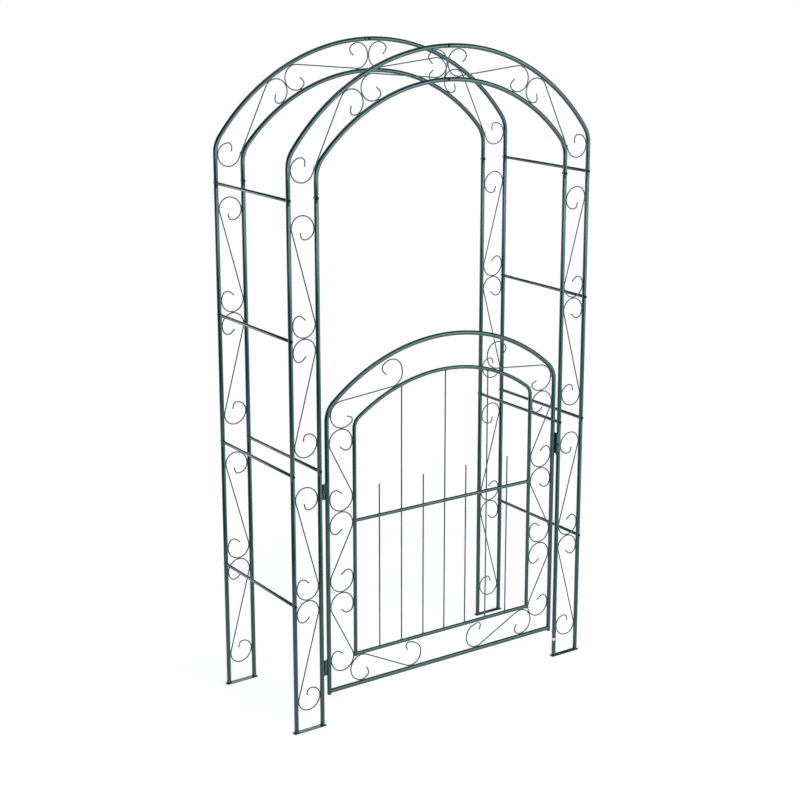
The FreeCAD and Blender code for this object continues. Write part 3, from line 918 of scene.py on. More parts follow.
@dataclass
class Workshop:
    """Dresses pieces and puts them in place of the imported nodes."""

    packed: dict
    materials: dict[Surface, bpy.types.Material] = field(init=False)
    body_of: dict[str, str] = field(init=False)
    slot_of: dict[str, str] = field(init=False)
    count: int = 0

    def __post_init__(self) -> None:
        """Mixes the finishes and notes each node's body and slot."""
        effects = Effects()
        self.materials = {surface: finish.material(effects) for surface, finish in FINISHES.items()}
        bodies = self.packed["record"]["behaviour"]["bodies"]
        self.body_of = {node: body for body, nodes in bodies.items() for node in nodes}
        self.slot_of = {part["node"]: part["material_slot"] for part in self.packed["record"]["subparts"]}

    def dress(self, piece: bpy.types.Object, surface: Surface) -> None:
        """Gives a piece one finish all over."""
        piece.data.materials.clear()
        piece.data.materials.append(self.materials[surface])

    def stand_in(self, piece: bpy.types.Object, node: str) -> None:
        """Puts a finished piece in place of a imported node, with that node's body and finish.

        Args:
            piece: The finished piece.
            node: The node that it stands for.
        """
        surface = Surface(self.slot_of[node])
        self.dress(piece, surface)
        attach(piece, self.body_of[node])
        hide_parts(node)
        self.count += 1
        LOG.info("%s stands for %s, %d faces", piece.name, node, len(piece.data.polygons))

    def attach(self, piece: bpy.types.Object, body: str, surface: Surface) -> None:
        """Puts an extra piece, such as a row of weld beads, on a body.

        Args:
            piece: The finished piece.
            body: The body that it rides on.
            surface: Its finish.
        """
        self.dress(piece, surface)
        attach(piece, body)
        self.count += 1
        LOG.info("%s rides on %s, %d faces", piece.name, body, len(piece.data.polygons))

    def four_corners(self, node: str, master: bpy.types.Object, welds: bpy.types.Object,
                     frame_y: float) -> None:
        """Copies a piece and its welds from the right front to all four corners of the arch.

        Args:
            node: The nodes' name after the corner's.
            master: The model of the piece, used up.
            welds: The model of its welds, used up. Its name is that of the welds after the corner's.
            frame_y: From the arch's middle plane to each frame's.
        """
        for face in Face:
            for hand in Hand:
                corner = f"{face.word}_{hand.word}"
                place = (face.shift(frame_y), (hand.value, 1, 1))
                self.stand_in(twin(master, f"{corner}_{node}_painted", *place), f"{corner}_{node}")
                self.attach(twin(welds, f"{corner}_{welds.name}", *place), "arch", Surface.PAINT)
        bpy.data.objects.remove(master)
        bpy.data.objects.remove(welds)


# Shared sizes


@dataclass(frozen=True)
class Hoop:
    """One bent tube of a frame or of the gate: straight sides, a shoulder bend each and one large arc."""

    x: float
    arc_radius: float
    crown_z: float
    bend_radius: float

    def shoulder(self) -> tuple[float, float, float]:
        """Works out the bend that is tangent to the side and to the arc.

        Returns:
            Height where the bend starts, the bend's sweep and the arc's sweep to the crown, in degrees.
        """
        lean = math.asin((self.x - self.bend_radius) / (self.arc_radius - self.bend_radius))
        bend_z = self.crown_z - self.arc_radius + (self.arc_radius - self.bend_radius) * math.cos(lean)
        return bend_z, 90.0 - math.degrees(lean), math.degrees(lean)

    def half(self, from_z: float, past_crown: float = 0.0) -> FlatPath:
        """The right-hand half from a height up to the crown.

        Args:
            from_z: Where the straight side starts.
            past_crown: How far the arc goes on past the crown, along it.

        Returns:
            The path.
        """
        bend_z, bend_sweep, arc_sweep = self.shoulder()
        extra = math.degrees(past_crown / self.arc_radius)
        bends = (Bend(0, bend_z - from_z), Bend(self.bend_radius, bend_sweep),
                 Bend(self.arc_radius, arc_sweep + extra))
        return FlatPath((self.x, from_z), 90.0, bends)

    def whole(self, from_z: float) -> FlatPath:
        """Both sides and the arc, from a height and back to it.

        Args:
            from_z: Where the straight sides end.

        Returns:
            The path.
        """
        bend_z, bend_sweep, arc_sweep = self.shoulder()
        rise, bend = Bend(0, bend_z - from_z), Bend(self.bend_radius, bend_sweep)
        arc = Bend(self.arc_radius, 2 * arc_sweep)
        return FlatPath((self.x, from_z), 90.0, (rise, bend, arc, bend, rise))

    def under(self, lean: float, depth: float) -> Point:
        """A point below the arc's centre line.

        Args:
            lean: How far round from the crown it is, in degrees.
            depth: How far below the line it is.

        Returns:
            Its X and Z.
        """
        reach = self.arc_radius - depth
        angle = math.radians(lean)
        return reach * math.sin(angle), self.crown_z - self.arc_radius + reach * math.cos(angle)


@dataclass(frozen=True)
class Plan:
    """The arch's driving sizes."""

    tube_r: float = 0.00725
    wire_r: float = 0.002
    bar_r: float = 0.00225
    rung_r: float = 0.00525
    outer: Hoop = Hoop(0.575, 0.690, 2.1365, 0.093)
    inner: Hoop = Hoop(0.478, 0.600, 2.034, 0.093)
    frame_y: float = 0.2225
    first_rung_z: float = 0.432
    rung_pitch: float = 0.425
    joint_drop: float = 0.0135
    foot_t: float = 0.0025
    tube_sides: int = 32
    thin_sides: int = 28
    wire_sides: int = 14
    wire_rim: float = 0.0006

    @property
    def gap(self) -> float:
        """From a tube's centre line to that of a wire that touches it."""
        return self.tube_r + self.wire_r

    @property
    def rung_levels(self) -> tuple[float, ...]:
        """Heights of the four rungs on a side."""
        return tuple(self.first_rung_z + self.rung_pitch * i for i in range(4))

    @property
    def joints(self) -> tuple[float, float]:
        """Heights where the tube sections meet."""
        return self.rung_levels[1] - self.joint_drop, self.rung_levels[3] - self.joint_drop

    def wire(self, name: str, scroll: Scroll) -> bpy.types.Object:
        """A scroll's wire in the front frame's plane, its ends cut off and eased."""
        bar = BentBar(scroll.path(), self.wire_r, -self.frame_y, self.wire_sides)
        return bar.rounded(name, self.wire_rim, self.wire_rim)


# The tail of every scroll end that fills the gap between two upright tubes
HOOK = (Bend(0.045, 25.0), Bend(0.019, 108.0), Bend(0, 0.015))


# Frames


@dataclass
class FrameTubes:
    """The 24 tube sections of the two frames."""

    plan: Plan
    shop: Workshop
    swage_rim: float = 0.0018
    cut_rim: float = 0.0006

    def leg(self, name: str, hoop: Hoop, low: float, high: float) -> bpy.types.Object:
        """One straight section of the right front leg.

        Args:
            name: The piece's name.
            hoop: The hoop that it belongs to.
            low: Its lower end.
            high: Its upper end, rounded where the tube is drawn in to its neck.

        Returns:
            The section.
        """
        path = FlatPath((hoop.x, low), 90.0, (Bend(0, high - low),))
        bar = BentBar(path, self.plan.tube_r, -self.plan.frame_y, self.plan.tube_sides)
        return bar.rounded(name, self.cut_rim, self.swage_rim)

    def arch_half(self, name: str, hoop: Hoop, hand: Hand) -> bpy.types.Object:
        """Half a hoop. The right half reaches past the crown, over the neck of the left one.

        Args:
            name: The piece's name.
            hoop: The hoop that it belongs to.
            hand: Which half.

        Returns:
            The section, on its own side.
        """
        path = hoop.half(self.plan.joints[1], hand.value * self.plan.joint_drop)
        end_rim = self.cut_rim if hand is Hand.RIGHT else self.swage_rim
        bar = BentBar(path, self.plan.tube_r, -self.plan.frame_y, self.plan.tube_sides)
        piece = bar.rounded(name, self.cut_rim, end_rim)
        if hand is Hand.RIGHT:
            return piece
        mirrored = twin(piece, name, flip=(-1, 1, 1))
        bpy.data.objects.remove(piece)
        mirrored.name = name
        return mirrored

    def build(self) -> None:
        """Models each section once in the front frame and copies it to its other places."""
        plan = self.plan
        middle, top = plan.joints
        for hoop_name, hoop in (("outer", plan.outer), ("inner", plan.inner)):
            for part, low, high in (("lower", plan.foot_t, middle), ("upper", middle, top)):
                master = self.leg(f"{hoop_name}_{part}_section", hoop, low, high)
                for face in Face:
                    for hand in Hand:
                        node = f"{face.word}_{hand.word}_{hoop_name}_{part}_tube"
                        place = (face.shift(plan.frame_y), (hand.value, 1, 1))
                        self.shop.stand_in(twin(master, f"{node}_painted", *place), node)
                bpy.data.objects.remove(master)
            for hand in Hand:
                master = self.arch_half(f"{hoop_name}_arch_section", hoop, hand)
                for face in Face:
                    node = f"{face.word}_{hand.word}_{hoop_name}_arch_tube"
                    self.shop.stand_in(twin(master, f"{node}_painted", face.shift(plan.frame_y)), node)
                bpy.data.objects.remove(master)


@dataclass
class FootPlates:
    """The flat strip under each leg, with two anchor holes and the weld round each tube."""

    plan: Plan
    shop: Workshop
    width: float = 0.018
    overhang: float = 0.004
    corner_r: float = 0.004
    hole_r: float = 0.0032
    hole_spacing: float = 0.040
    bead_r: float = 0.0013
    bead_out: float = 0.00039
    eased: float = 0.0004

    def plate(self) -> bpy.types.Object:
        """The right front plate.

        Returns:
            The plate, holed and with its edges eased.
        """
        plan = self.plan
        reach = plan.tube_r + self.overhang
        low = (plan.inner.x - reach, -plan.frame_y - self.width / 2, 0)
        high = (plan.outer.x + reach, -plan.frame_y + self.width / 2, plan.foot_t)
        plate = block("foot_plate", low, high)
        pick_edges(plate, lambda a, b: abs(a.z - b.z) > plan.foot_t / 2)
        with editing(plate, "EDGE"):
            bpy.ops.mesh.bevel(offset=self.corner_r, segments=6, affect="EDGES")
        middle = (plan.inner.x + plan.outer.x) / 2
        for offset in (-self.hole_spacing / 2, self.hole_spacing / 2):
            x = middle + offset
            drill = rod("drill", (x, -plan.frame_y, -PAST), (x, -plan.frame_y, PAST), self.hole_r, 28)
            carve(plate, drill)
        soften(plate, self.eased)
        return shaded_plate(plate)

    def welds(self) -> bpy.types.Object:
        """The beads round the two tubes on the right front plate.

        Returns:
            Both beads as one piece.
        """
        plan = self.plan
        reach = plan.tube_r + self.bead_out
        rings = [weld_ring("foot_weld", reach, self.bead_r, (hoop.x, -plan.frame_y, plan.foot_t))
                 for hoop in (plan.inner, plan.outer)]
        both = joined("foot_welds", rings)
        ripple(both, depth=0.0005, scale=0.004)
        return smooth(both, WELDED)

    def build(self) -> None:
        """Models one corner and copies it to the four."""
        self.shop.four_corners("foot_plate", self.plate(), self.welds(), self.plan.frame_y)


@dataclass(frozen=True)
class Contact:
    """Where a wire is welded to its neighbour: the point, and the direction of the seam in degrees."""

    x: float
    z: float
    seam: float = 90.0


@dataclass
class WeldBeads:
    """Small puddles of weld at the contacts of wires and bars, all copies of one bead."""

    length: float = 0.0046
    width: float = 0.0027
    height: float = 0.0021
    bead: bpy.types.Object = field(init=False)

    def __post_init__(self) -> None:
        """Models the bead, lying along Z, at the origin."""
        nothing_selected()
        bpy.ops.mesh.primitive_uv_sphere_add(segments=12, ring_count=8, radius=1.0,
                                             scale=(self.height, self.width, self.length))
        self.bead = settled("weld_bead")
        ripple(self.bead, depth=0.0007, scale=0.003)
        smooth(self.bead, WELDED)

    def at(self, name: str, contacts: Sequence[Contact], y: float) -> bpy.types.Object:
        """A piece with a bead at each contact, in the plane at y.

        Args:
            name: The piece's name.
            contacts: Where the beads are.
            y: The plane's place.

        Returns:
            The beads as one piece.
        """
        beads = []
        for i, spot in enumerate(contacts):
            turn = (180.0 * (i % 2), 90.0 - spot.seam, 0.0)
            beads.append(twin(self.bead, f"{name}_{i}", (spot.x, y, spot.z), turn=turn))
        return joined(name, beads)

    def done(self) -> None:
        """Removes the master bead."""
        bpy.data.objects.remove(self.bead)


@dataclass
class LegScrolls:
    """Two pairs of scrolls between the tubes of each leg. The wires of a pair touch in the middle."""

    plan: Plan
    shop: Workshop
    beads: WeldBeads
    pairs: tuple[tuple[float, float, float], ...] = ((0.070, 0.4415, 0.813), (0.910, 1.2845, 1.659))
    narrowing: float = 0.00325
    foot_tail: tuple[Bend, ...] = (Bend(0.031, 95.0), Bend(0.0135, 75.0), Bend(0, 0.011))

    def loops(self) -> tuple[float, float, float, float]:
        """Sizes of the loops between the two tubes.

        Returns:
            X of the wire's centre line nearest to the outer tube and to the inner one, the radius of a loop
            that fills the gap, and the radius of the end loop.
        """
        near_outer = self.plan.outer.x - self.plan.gap
        near_inner = self.plan.inner.x + self.plan.gap
        full = (near_outer - near_inner) / 2
        return near_outer, near_inner, full, full - self.narrowing

    def wire(self, name: str, bottom: float, middle: float) -> bpy.types.Object:
        """The lower wire of a pair, from its foot to the pair's middle.

        Args:
            name: The piece's name.
            bottom: Height of its lowest point.
            middle: Height where the pair's wires touch.

        Returns:
            The wire in the right front leg.
        """
        near_outer, near_inner, full, low = self.loops()
        far = Curl(low, 105.0, (Bend(near_outer - near_inner - low, 90.0), *self.foot_tail))
        meet = Curl(full, 195.0, HOOK)
        foot = (near_outer - low, bottom + low)
        head = (near_inner + full, middle - self.plan.wire_r - full)
        return self.plan.wire(name, Scroll(foot, far, head, meet, Way.ANTICLOCKWISE))

    def contacts(self) -> list[Contact]:
        """Where the wires are welded to the tubes and to each other.

        Returns:
            The contacts in the right front leg.
        """
        outer_face = self.plan.outer.x - self.plan.tube_r
        inner_face = self.plan.inner.x + self.plan.tube_r
        _, near_inner, full, low = self.loops()
        half = self.plan.wire_r + full
        spots = []
        for bottom, middle, top in self.pairs:
            for z in (bottom + low, top - low, middle - half, middle + half):
                spots += [Contact(outer_face, z), Contact(inner_face, z)]
            spots.append(Contact(near_inner + full, middle, 0.0))
        return spots

    def build(self) -> None:
        """Models one leg's scrolls and copies them to the four legs."""
        wires = []
        for i, (bottom, middle, _) in enumerate(self.pairs):
            lower = self.wire(f"pair_{i}_lower", bottom, middle)
            wires += [lower, twin(lower, f"pair_{i}_upper", (0, 0, 2 * middle), (1, 1, -1))]
        master = joined("leg_scrolls", wires)
        welds = self.beads.at("leg_scroll_welds", self.contacts(), -self.plan.frame_y)
        self.shop.four_corners("leg_scrolls", master, welds, self.plan.frame_y)


@dataclass
class ArchScrolls:
    """Two scrolls between the hoops of each arch half."""

    plan: Plan
    shop: Workshop
    beads: WeldBeads
    foot_z: float = 1.7953
    lean: float = 33.3
    loop_r: float = 0.041
    crown_r: float = 0.040
    crown_rise: float = 0.0036
    foot_tail: tuple[Bend, ...] = (Bend(0.035, 90.0), Bend(0.014, 92.0), Bend(0, 0.012))
    upper_tail: tuple[Bend, ...] = (Bend(0.024, 50.0), Bend(0.013, 90.0), Bend(0, 0.013))
    lower_tail: tuple[Bend, ...] = (Bend(0.034, 45.0), Bend(0.014, 90.0), Bend(0, 0.014))
    crown_tail: tuple[Bend, ...] = (Bend(0.033, 55.0), Bend(0.013, 80.0), Bend(0, 0.015))
    play: float = 0.0001
    crown_weld_sink: float = 0.0012
    crown_weld_lean: float = -2.0

    def places(self) -> tuple[Point, Point, Point, Point]:
        """Works out where the loops rest.

        Returns:
            Centres of the foot loop, the two middle loops and the crown loop.
        """
        plan = self.plan
        depth = plan.gap + self.loop_r
        turn = math.degrees(2 * (self.loop_r + plan.wire_r) / (plan.outer.arc_radius - depth))
        foot = (plan.outer.x - plan.gap - self.foot_r(), self.foot_z)
        crown_x = plan.wire_r + self.crown_r + self.play
        sag = crown_x ** 2 / (2 * plan.inner.arc_radius)
        crown = (crown_x, plan.inner.crown_z + plan.gap + self.crown_r - sag + self.play)
        return foot, plan.outer.under(self.lean, depth), plan.outer.under(self.lean - turn, depth), crown

    def foot_r(self) -> float:
        """Radius of the foot loop, which fills the gap between the hoops."""
        return (self.plan.outer.x - self.plan.inner.x) / 2 - self.plan.gap

    def wires(self) -> list[bpy.types.Object]:
        """The two wires of the right front half.

        Returns:
            The wire from the foot loop, and the wire to the crown loop.
        """
        foot, upper, lower, crown = self.places()
        foot_curl = Curl(self.foot_r(), 158.0, self.foot_tail)
        upper_curl = Curl(self.loop_r, 205.0, self.upper_tail)
        lower_curl = Curl(self.loop_r, 190.0, self.lower_tail)
        run = math.hypot(lower[0] - crown[0], lower[1] - crown[1])
        rise = math.degrees(math.atan2(crown[1] - lower[1], lower[0] - crown[0]))
        upright = 90.0 + math.degrees(math.asin((self.loop_r + self.crown_r) / run)) - rise
        over = (Bend(0, self.crown_rise), Bend(self.crown_r, 90.0))
        crown_curl = Curl(self.crown_r, upright, (*over, *self.crown_tail))
        scrolls = (Scroll(foot, foot_curl, upper, upper_curl, Way.CLOCKWISE),
                   Scroll(lower, lower_curl, crown, crown_curl, Way.ANTICLOCKWISE))
        return [self.plan.wire(f"arch_scroll_{i}", scroll) for i, scroll in enumerate(scrolls)]

    def contacts(self) -> list[Contact]:
        """Where the wires are welded to the hoops and to each other.

        Returns:
            The contacts in the right front half.
        """
        plan = self.plan
        foot, upper, lower, crown = self.places()
        spots = [Contact(plan.outer.x - plan.tube_r, foot[1]), Contact(plan.inner.x + plan.tube_r, foot[1])]
        for centre in (upper, lower):
            lean = math.degrees(math.atan2(centre[0], centre[1] - plan.outer.crown_z + plan.outer.arc_radius))
            out = (math.sin(math.radians(lean)), math.cos(math.radians(lean)))
            for reach in (self.loop_r + plan.wire_r, -self.loop_r - plan.wire_r):
                spots.append(Contact(centre[0] + reach * out[0], centre[1] + reach * out[1], -lean))
        between = ((upper[0] + lower[0]) / 2, (upper[1] + lower[1]) / 2)
        spots.append(Contact(*between, 90.0 - self.lean))
        crown_z = plan.inner.crown_z + plan.tube_r - self.crown_weld_sink
        spots.append(Contact(crown[0], crown_z, self.crown_weld_lean))
        return spots

    def build(self) -> None:
        """Models one half's scrolls and copies them to the four halves."""
        master = joined("arch_scrolls", self.wires())
        welds = self.beads.at("arch_scroll_welds", self.contacts(), -self.plan.frame_y)
        self.shop.four_corners("arch_scrolls", master, welds, self.plan.frame_y)


@dataclass
class Rungs:
    """The ten cross tubes between the frames."""

    plan: Plan
    shop: Workshop
    rim: float = 0.0005

    def places(self) -> dict[str, list[Point]]:
        """Where the rungs go.

        Returns:
            X and Z of each rung, by node.
        """
        levels = self.plan.rung_levels
        outer_x, inner_x = self.plan.outer.x, self.plan.inner.x
        rows = {f"{hand.word}_outer_rungs": [(hand.value * outer_x, z) for z in levels] for hand in Hand}
        rows["inner_rungs"] = [(hand.value * inner_x, levels[1]) for hand in Hand]
        return rows

    def build(self) -> None:
        """Models one rung and copies it to its places."""
        reach = self.plan.frame_y - self.plan.tube_r
        master = rod("rung", (0, -reach, 0), (0, reach, 0), self.plan.rung_r, self.plan.thin_sides)
        round_rims(master, lambda _, normal: abs(normal.y) > 0.9, self.rim)
        smooth(master)
        for node, places in self.places().items():
            rungs = [twin(master, f"{node}_{i}", (x, 0, z)) for i, (x, z) in enumerate(places)]
            self.shop.stand_in(joined(f"{node}_painted", rungs), node)
        bpy.data.objects.remove(master)


# Fasteners


@dataclass
class Fasteners:
    """Bolts, screws and nuts: every head has a cross recess, and each is a copy of one model."""

    plan: Plan
    shop: Workshop
    head_r: float = 0.00475
    head_h: float = 0.003
    dome_share: float = 0.6
    shank_r: float = 0.0025
    shank_root: float = 0.0002
    recess_w: float = 0.0011
    recess_reach: float = 0.0024
    recess_depth: float = 0.0015
    recess_share: float = 0.6
    tip_rim: float = 0.0005
    nut_flats: float = 0.008
    nut_h: float = 0.004
    nut_rim: float = 0.00035
    rung_bolt_length: float = 0.0285
    screw_length: float = 0.0195
    leg_screw_z: float = 0.065
    leg_screw_turn: float = 45.0
    leg_screw_r: float = 0.006
    leg_screw_h: float = 0.0016

    def bolt(self, name: str, length: float, head_r: float, head_h: float) -> bpy.types.Object:
        """A bolt that points along +Y, with its head's seat at the origin.

        Args:
            name: The piece's name.
            length: Length of its shank.
            head_r: Its head's radius.
            head_h: Its head's height.

        Returns:
            The bolt.
        """
        head = rod("head", (0, 0, 0), (0, -head_h, 0), head_r, 32)
        round_rims(head, lambda _, normal: normal.y < -0.9, head_h * self.dome_share, 4)
        floor = min(self.recess_depth, head_h * self.recess_share) - head_h
        for x, z in ((self.recess_reach, self.recess_w / 2), (self.recess_w / 2, self.recess_reach)):
            carve(head, block("recess", (-x, -head_h - PAST, -z), (x, floor, z)))
        shank = rod("shank", (0, -self.shank_root, 0), (0, length, 0), self.shank_r, 20)
        round_rims(shank, lambda _, normal: normal.y > 0.9, self.tip_rim)
        return smooth(joined(name, [head, shank]), MACHINED)

    def nut(self) -> bpy.types.Object:
        """A hexagon nut.

        Returns:
            The nut, along +Y with its seat at the origin.
        """
        across = self.nut_flats / 2 / math.cos(math.radians(30.0))
        body = rod("nut", (0, 0, 0), (0, self.nut_h, 0), across, 6)
        carve(body, rod("bore", (0, -PAST, 0), (0, self.nut_h + PAST, 0), self.shank_r, 20))
        soften(body, self.nut_rim)
        return smooth(body, MACHINED)

    def row(self, node: str, master: bpy.types.Object, places: Sequence[Point], seat: float) -> None:
        """Copies of a fastener on the front and the back frame, as one piece.

        Args:
            node: The node that they stand for.
            master: The model, made for the front frame.
            places: X and Z of each.
            seat: How far the seat is from the arch's middle plane.
        """
        copies = []
        for x, z in places:
            for face in Face:
                turn = (0, 0, 180.0 if face is Face.BACK else 0.0)
                copies.append(twin(master, f"{node}_{len(copies)}", (x, face.value * seat, z), turn=turn))
        self.shop.stand_in(joined(f"{node}_detailed", copies), node)

    def build(self) -> None:
        """Models each kind of fastener and copies it to its places."""
        plan = self.plan
        outside = plan.frame_y + plan.tube_r
        outer = [(hand.value * plan.outer.x, z) for hand in Hand for z in plan.rung_levels]
        inner = [(hand.value * plan.inner.x, plan.rung_levels[1]) for hand in Hand]
        joints = [(hand.value * plan.inner.x, plan.rung_levels[3]) for hand in Hand]
        joints += [(0.0, plan.outer.crown_z), (0.0, plan.inner.crown_z)]
        bolt = self.bolt("rung_bolt", self.rung_bolt_length, self.head_r, self.head_h)
        self.row("rung_bolts", bolt, outer + inner, outside)
        screw = self.bolt("joint_screw", self.screw_length, self.head_r, self.head_h)
        self.row("joint_screws", screw, joints, outside)
        nut = self.nut()
        self.row("joint_nuts", nut, joints, plan.frame_y - plan.tube_r)
        leg_screw = self.bolt("leg_screw_master", plan.tube_r, self.leg_screw_r, self.leg_screw_h)
        turn = math.radians(self.leg_screw_turn)
        seat = (plan.inner.x - plan.tube_r * math.sin(turn), -plan.frame_y - plan.tube_r * math.cos(turn),
                self.leg_screw_z)
        placed = twin(leg_screw, "leg_screw_detailed", seat, turn=(0, 0, -self.leg_screw_turn))
        self.shop.stand_in(placed, "leg_screw")
        for master in (bolt, screw, nut, leg_screw):
            bpy.data.objects.remove(master)


# Gate


@dataclass
class Gate:
    """The gate: two bent frames, three rails, seven bars, ten scrolls and their welds."""

    plan: Plan
    shop: Workshop
    beads: WeldBeads
    outer: Hoop = Hoop(0.451, 0.6446, 1.2284, 0.0743)
    inner: Hoop = Hoop(0.350, 0.5673, 1.115, 0.0413)
    inner_r: float = 0.00625
    foot_z: float = 0.1041
    cap_h: float = 0.0025
    cap_rim: float = 0.002
    bottom_rail_z: float = 0.1124
    inner_rail_z: float = 0.2166
    middle_rail_z: float = 0.6704
    middle_rail_r: float = 0.00575
    bar_pitch: float = 0.0855
    short_top: float = 0.7756
    scroll_bottom: float = 0.1722
    scroll_pitch: float = 0.2702
    top_x: float = 0.3929
    top_r: float = 0.0435
    top_tail: tuple[Bend, ...] = (Bend(0.048, 40.0), Bend(0.011, 118.0), Bend(0, 0.012))
    crown_x: float = 0.211
    crown_r: float = 0.043
    crown_tail: tuple[Bend, ...] = (Bend(0, 0.007), Bend(0.039, 88.0), Bend(0.043, 45.0), Bend(0.016, 85.0),
                                    Bend(0, 0.015))
    corner_x: float = 0.3255
    corner_tail: tuple[Bend, ...] = (Bend(0.030, 60.0), Bend(0.013, 62.0), Bend(0, 0.015))
    middle_x: float = 0.134
    middle_r: float = 0.040
    middle_tail: tuple[Bend, ...] = (Bend(0.060, 32.0), Bend(0.011, 118.0), Bend(0, 0.012))
    seam_rim: float = 0.0003
    cut_rim: float = 0.0006
    top_weld_rise: float = 0.0003
    bead_r: float = 0.0011
    bead_out: float = 0.00022

    @property
    def y(self) -> float:
        """The gate's plane."""
        return -self.plan.frame_y

    def frames(self) -> None:
        """The two bent frames."""
        outer_path = self.outer.whole(self.foot_z)
        outer = BentBar(outer_path, self.plan.tube_r, self.y, self.plan.tube_sides)
        inner_path = self.inner.whole(self.inner_rail_z - self.inner_r)
        inner = BentBar(inner_path, self.inner_r, self.y, self.plan.thin_sides)
        frames = (("gate_outer_frame", outer, self.seam_rim), ("gate_inner_frame", inner, self.cut_rim))
        for node, bar, rim in frames:
            self.shop.stand_in(bar.rounded(f"{node}_painted", rim, rim), node)

    def caps(self) -> None:
        """The domed plugs at the bottom of the stiles."""
        top = self.foot_z
        cap = rod("cap", (0, 0, top), (0, 0, top - self.cap_h), self.plan.tube_r, self.plan.tube_sides)
        round_rims(cap, lambda _, normal: normal.z < -0.9, self.cap_rim, 4)
        smooth(cap)
        caps = [twin(cap, f"cap_{hand.word}", (hand.value * self.outer.x, self.y, 0)) for hand in Hand]
        bpy.data.objects.remove(cap)
        self.shop.stand_in(joined("gate_stile_caps_painted", caps), "gate_stile_caps")

    def rail(self, node: str, half_span: float, z: float, radius: float, stile_r: float) -> None:
        """A rail between two stiles, its ends shaped to fit them.

        Args:
            node: The node that it stands for.
            half_span: From the gate's middle to a stile's centre line.
            z: Its height.
            radius: Its radius.
            stile_r: The stiles' radius.
        """
        rail = rod(f"{node}_painted", (-half_span, self.y, z), (half_span, self.y, z), radius,
                   self.plan.thin_sides)
        for side in (-1, 1):
            x = side * half_span
            low, high = z - radius - PAST, z + radius + PAST
            carve(rail, rod("stile", (x, self.y, low), (x, self.y, high), stile_r, 48))
        self.shop.stand_in(smooth(rail, MACHINED), node)

    def saddle(self, name: str, x: float, z: float, rail_r: float, stile_r: float) -> bpy.types.Object:
        """The bead where a rail's end meets a stile, wrapped round the stile.

        Args:
            name: The piece's name.
            x: The stile's centre line. The rail is on the side of the gate's middle.
            z: The rail's height.
            rail_r: The rail's radius.
            stile_r: The stile's radius.

        Returns:
            The bead.
        """
        ring = weld_ring(name, rail_r + self.bead_out, self.bead_r, turn=(0, 90.0, 0))
        side, widest = -math.copysign(1.0, x), stile_r * 0.98
        for vertex in ring.data.vertices:
            over = min(abs(vertex.co.y), widest)
            vertex.co.x += side * math.sqrt(stile_r ** 2 - over ** 2)
        ripple(ring, depth=0.0004, scale=0.004)
        smooth(ring, WELDED)
        placed = twin(ring, name, (x, self.y, z))
        bpy.data.objects.remove(ring)
        return placed

    def rails(self) -> None:
        """The bottom rail, the inner rail and the middle rail, with the welds at their ends."""
        plan = self.plan
        spans = (("gate_bottom_rail", self.outer.x, self.bottom_rail_z, plan.tube_r, plan.tube_r),
                 ("gate_inner_rail", self.inner.x, self.inner_rail_z, self.inner_r, self.inner_r),
                 ("gate_middle_rail", self.inner.x, self.middle_rail_z, self.middle_rail_r, self.inner_r))
        beads = []
        for node, half_span, z, radius, stile_r in spans:
            self.rail(node, half_span, z, radius, stile_r)
            for side in (-1, 1):
                beads.append(self.saddle(f"{node}_weld", side * half_span, z, radius, stile_r))
        self.shop.attach(joined("gate_rail_welds", beads), "gate", Surface.PAINT)

    def arc_underside(self, x: float) -> float:
        """Height of the inner arc's underside above a bar.

        Args:
            x: The bar's place.

        Returns:
            The height where the bar's far edge meets the arc.
        """
        reach = self.inner.arc_radius - self.inner_r
        drop = math.sqrt(reach ** 2 - (abs(x) + self.plan.bar_r) ** 2)
        return self.inner.crown_z - self.inner.arc_radius + drop

    def bars(self) -> None:
        """The long bars up to the arc, the short bars with free tops, and their welds."""
        plan = self.plan
        bottom = self.inner_rail_z + self.inner_r
        kinds = {"gate_long_bars": [(i * self.bar_pitch, self.arc_underside(i * self.bar_pitch))
                                    for i in (-2, 0, 2)],
                 "gate_short_bars": [(i * self.bar_pitch, self.short_top) for i in (-3, -1, 1, 3)]}
        spots = []
        for node, places in kinds.items():
            bars = []
            for x, top in places:
                bar = rod(f"{node}_{len(bars)}", (x, self.y, bottom), (x, self.y, top), plan.bar_r, 16)
                round_rims(bar, lambda _, normal: abs(normal.z) > 0.9, self.cut_rim)
                bars.append(smooth(bar))
                spots += [Contact(x, bottom, 0.0), Contact(x, self.middle_rail_z + self.middle_rail_r, 0.0)]
                if node == "gate_long_bars":
                    lean = math.degrees(math.asin(x / self.inner.arc_radius))
                    spots.append(Contact(x, top + self.top_weld_rise, -lean))
            self.shop.stand_in(joined(f"{node}_painted", bars), node)
        self.shop.attach(self.beads.at("gate_bar_welds", spots, self.y), "gate", Surface.PAINT)

    def side_gap(self) -> tuple[float, float]:
        """The gap between the two stiles of a side.

        Returns:
            X of its middle, and the radius of a loop that fills it.
        """
        near_outer = self.outer.x - self.plan.gap
        near_inner = self.inner.x + self.inner_r + self.plan.wire_r
        return (near_outer + near_inner) / 2, (near_outer - near_inner) / 2

    def both_sides(self, node: str, wires: Sequence[bpy.types.Object]) -> None:
        """Joins the right side's wires with their mirror image and lets them stand for a node."""
        right = joined(f"{node}_right", wires)
        left = twin(right, f"{node}_left", flip=(-1, 1, 1))
        self.shop.stand_in(joined(f"{node}_painted", [right, left]), node)

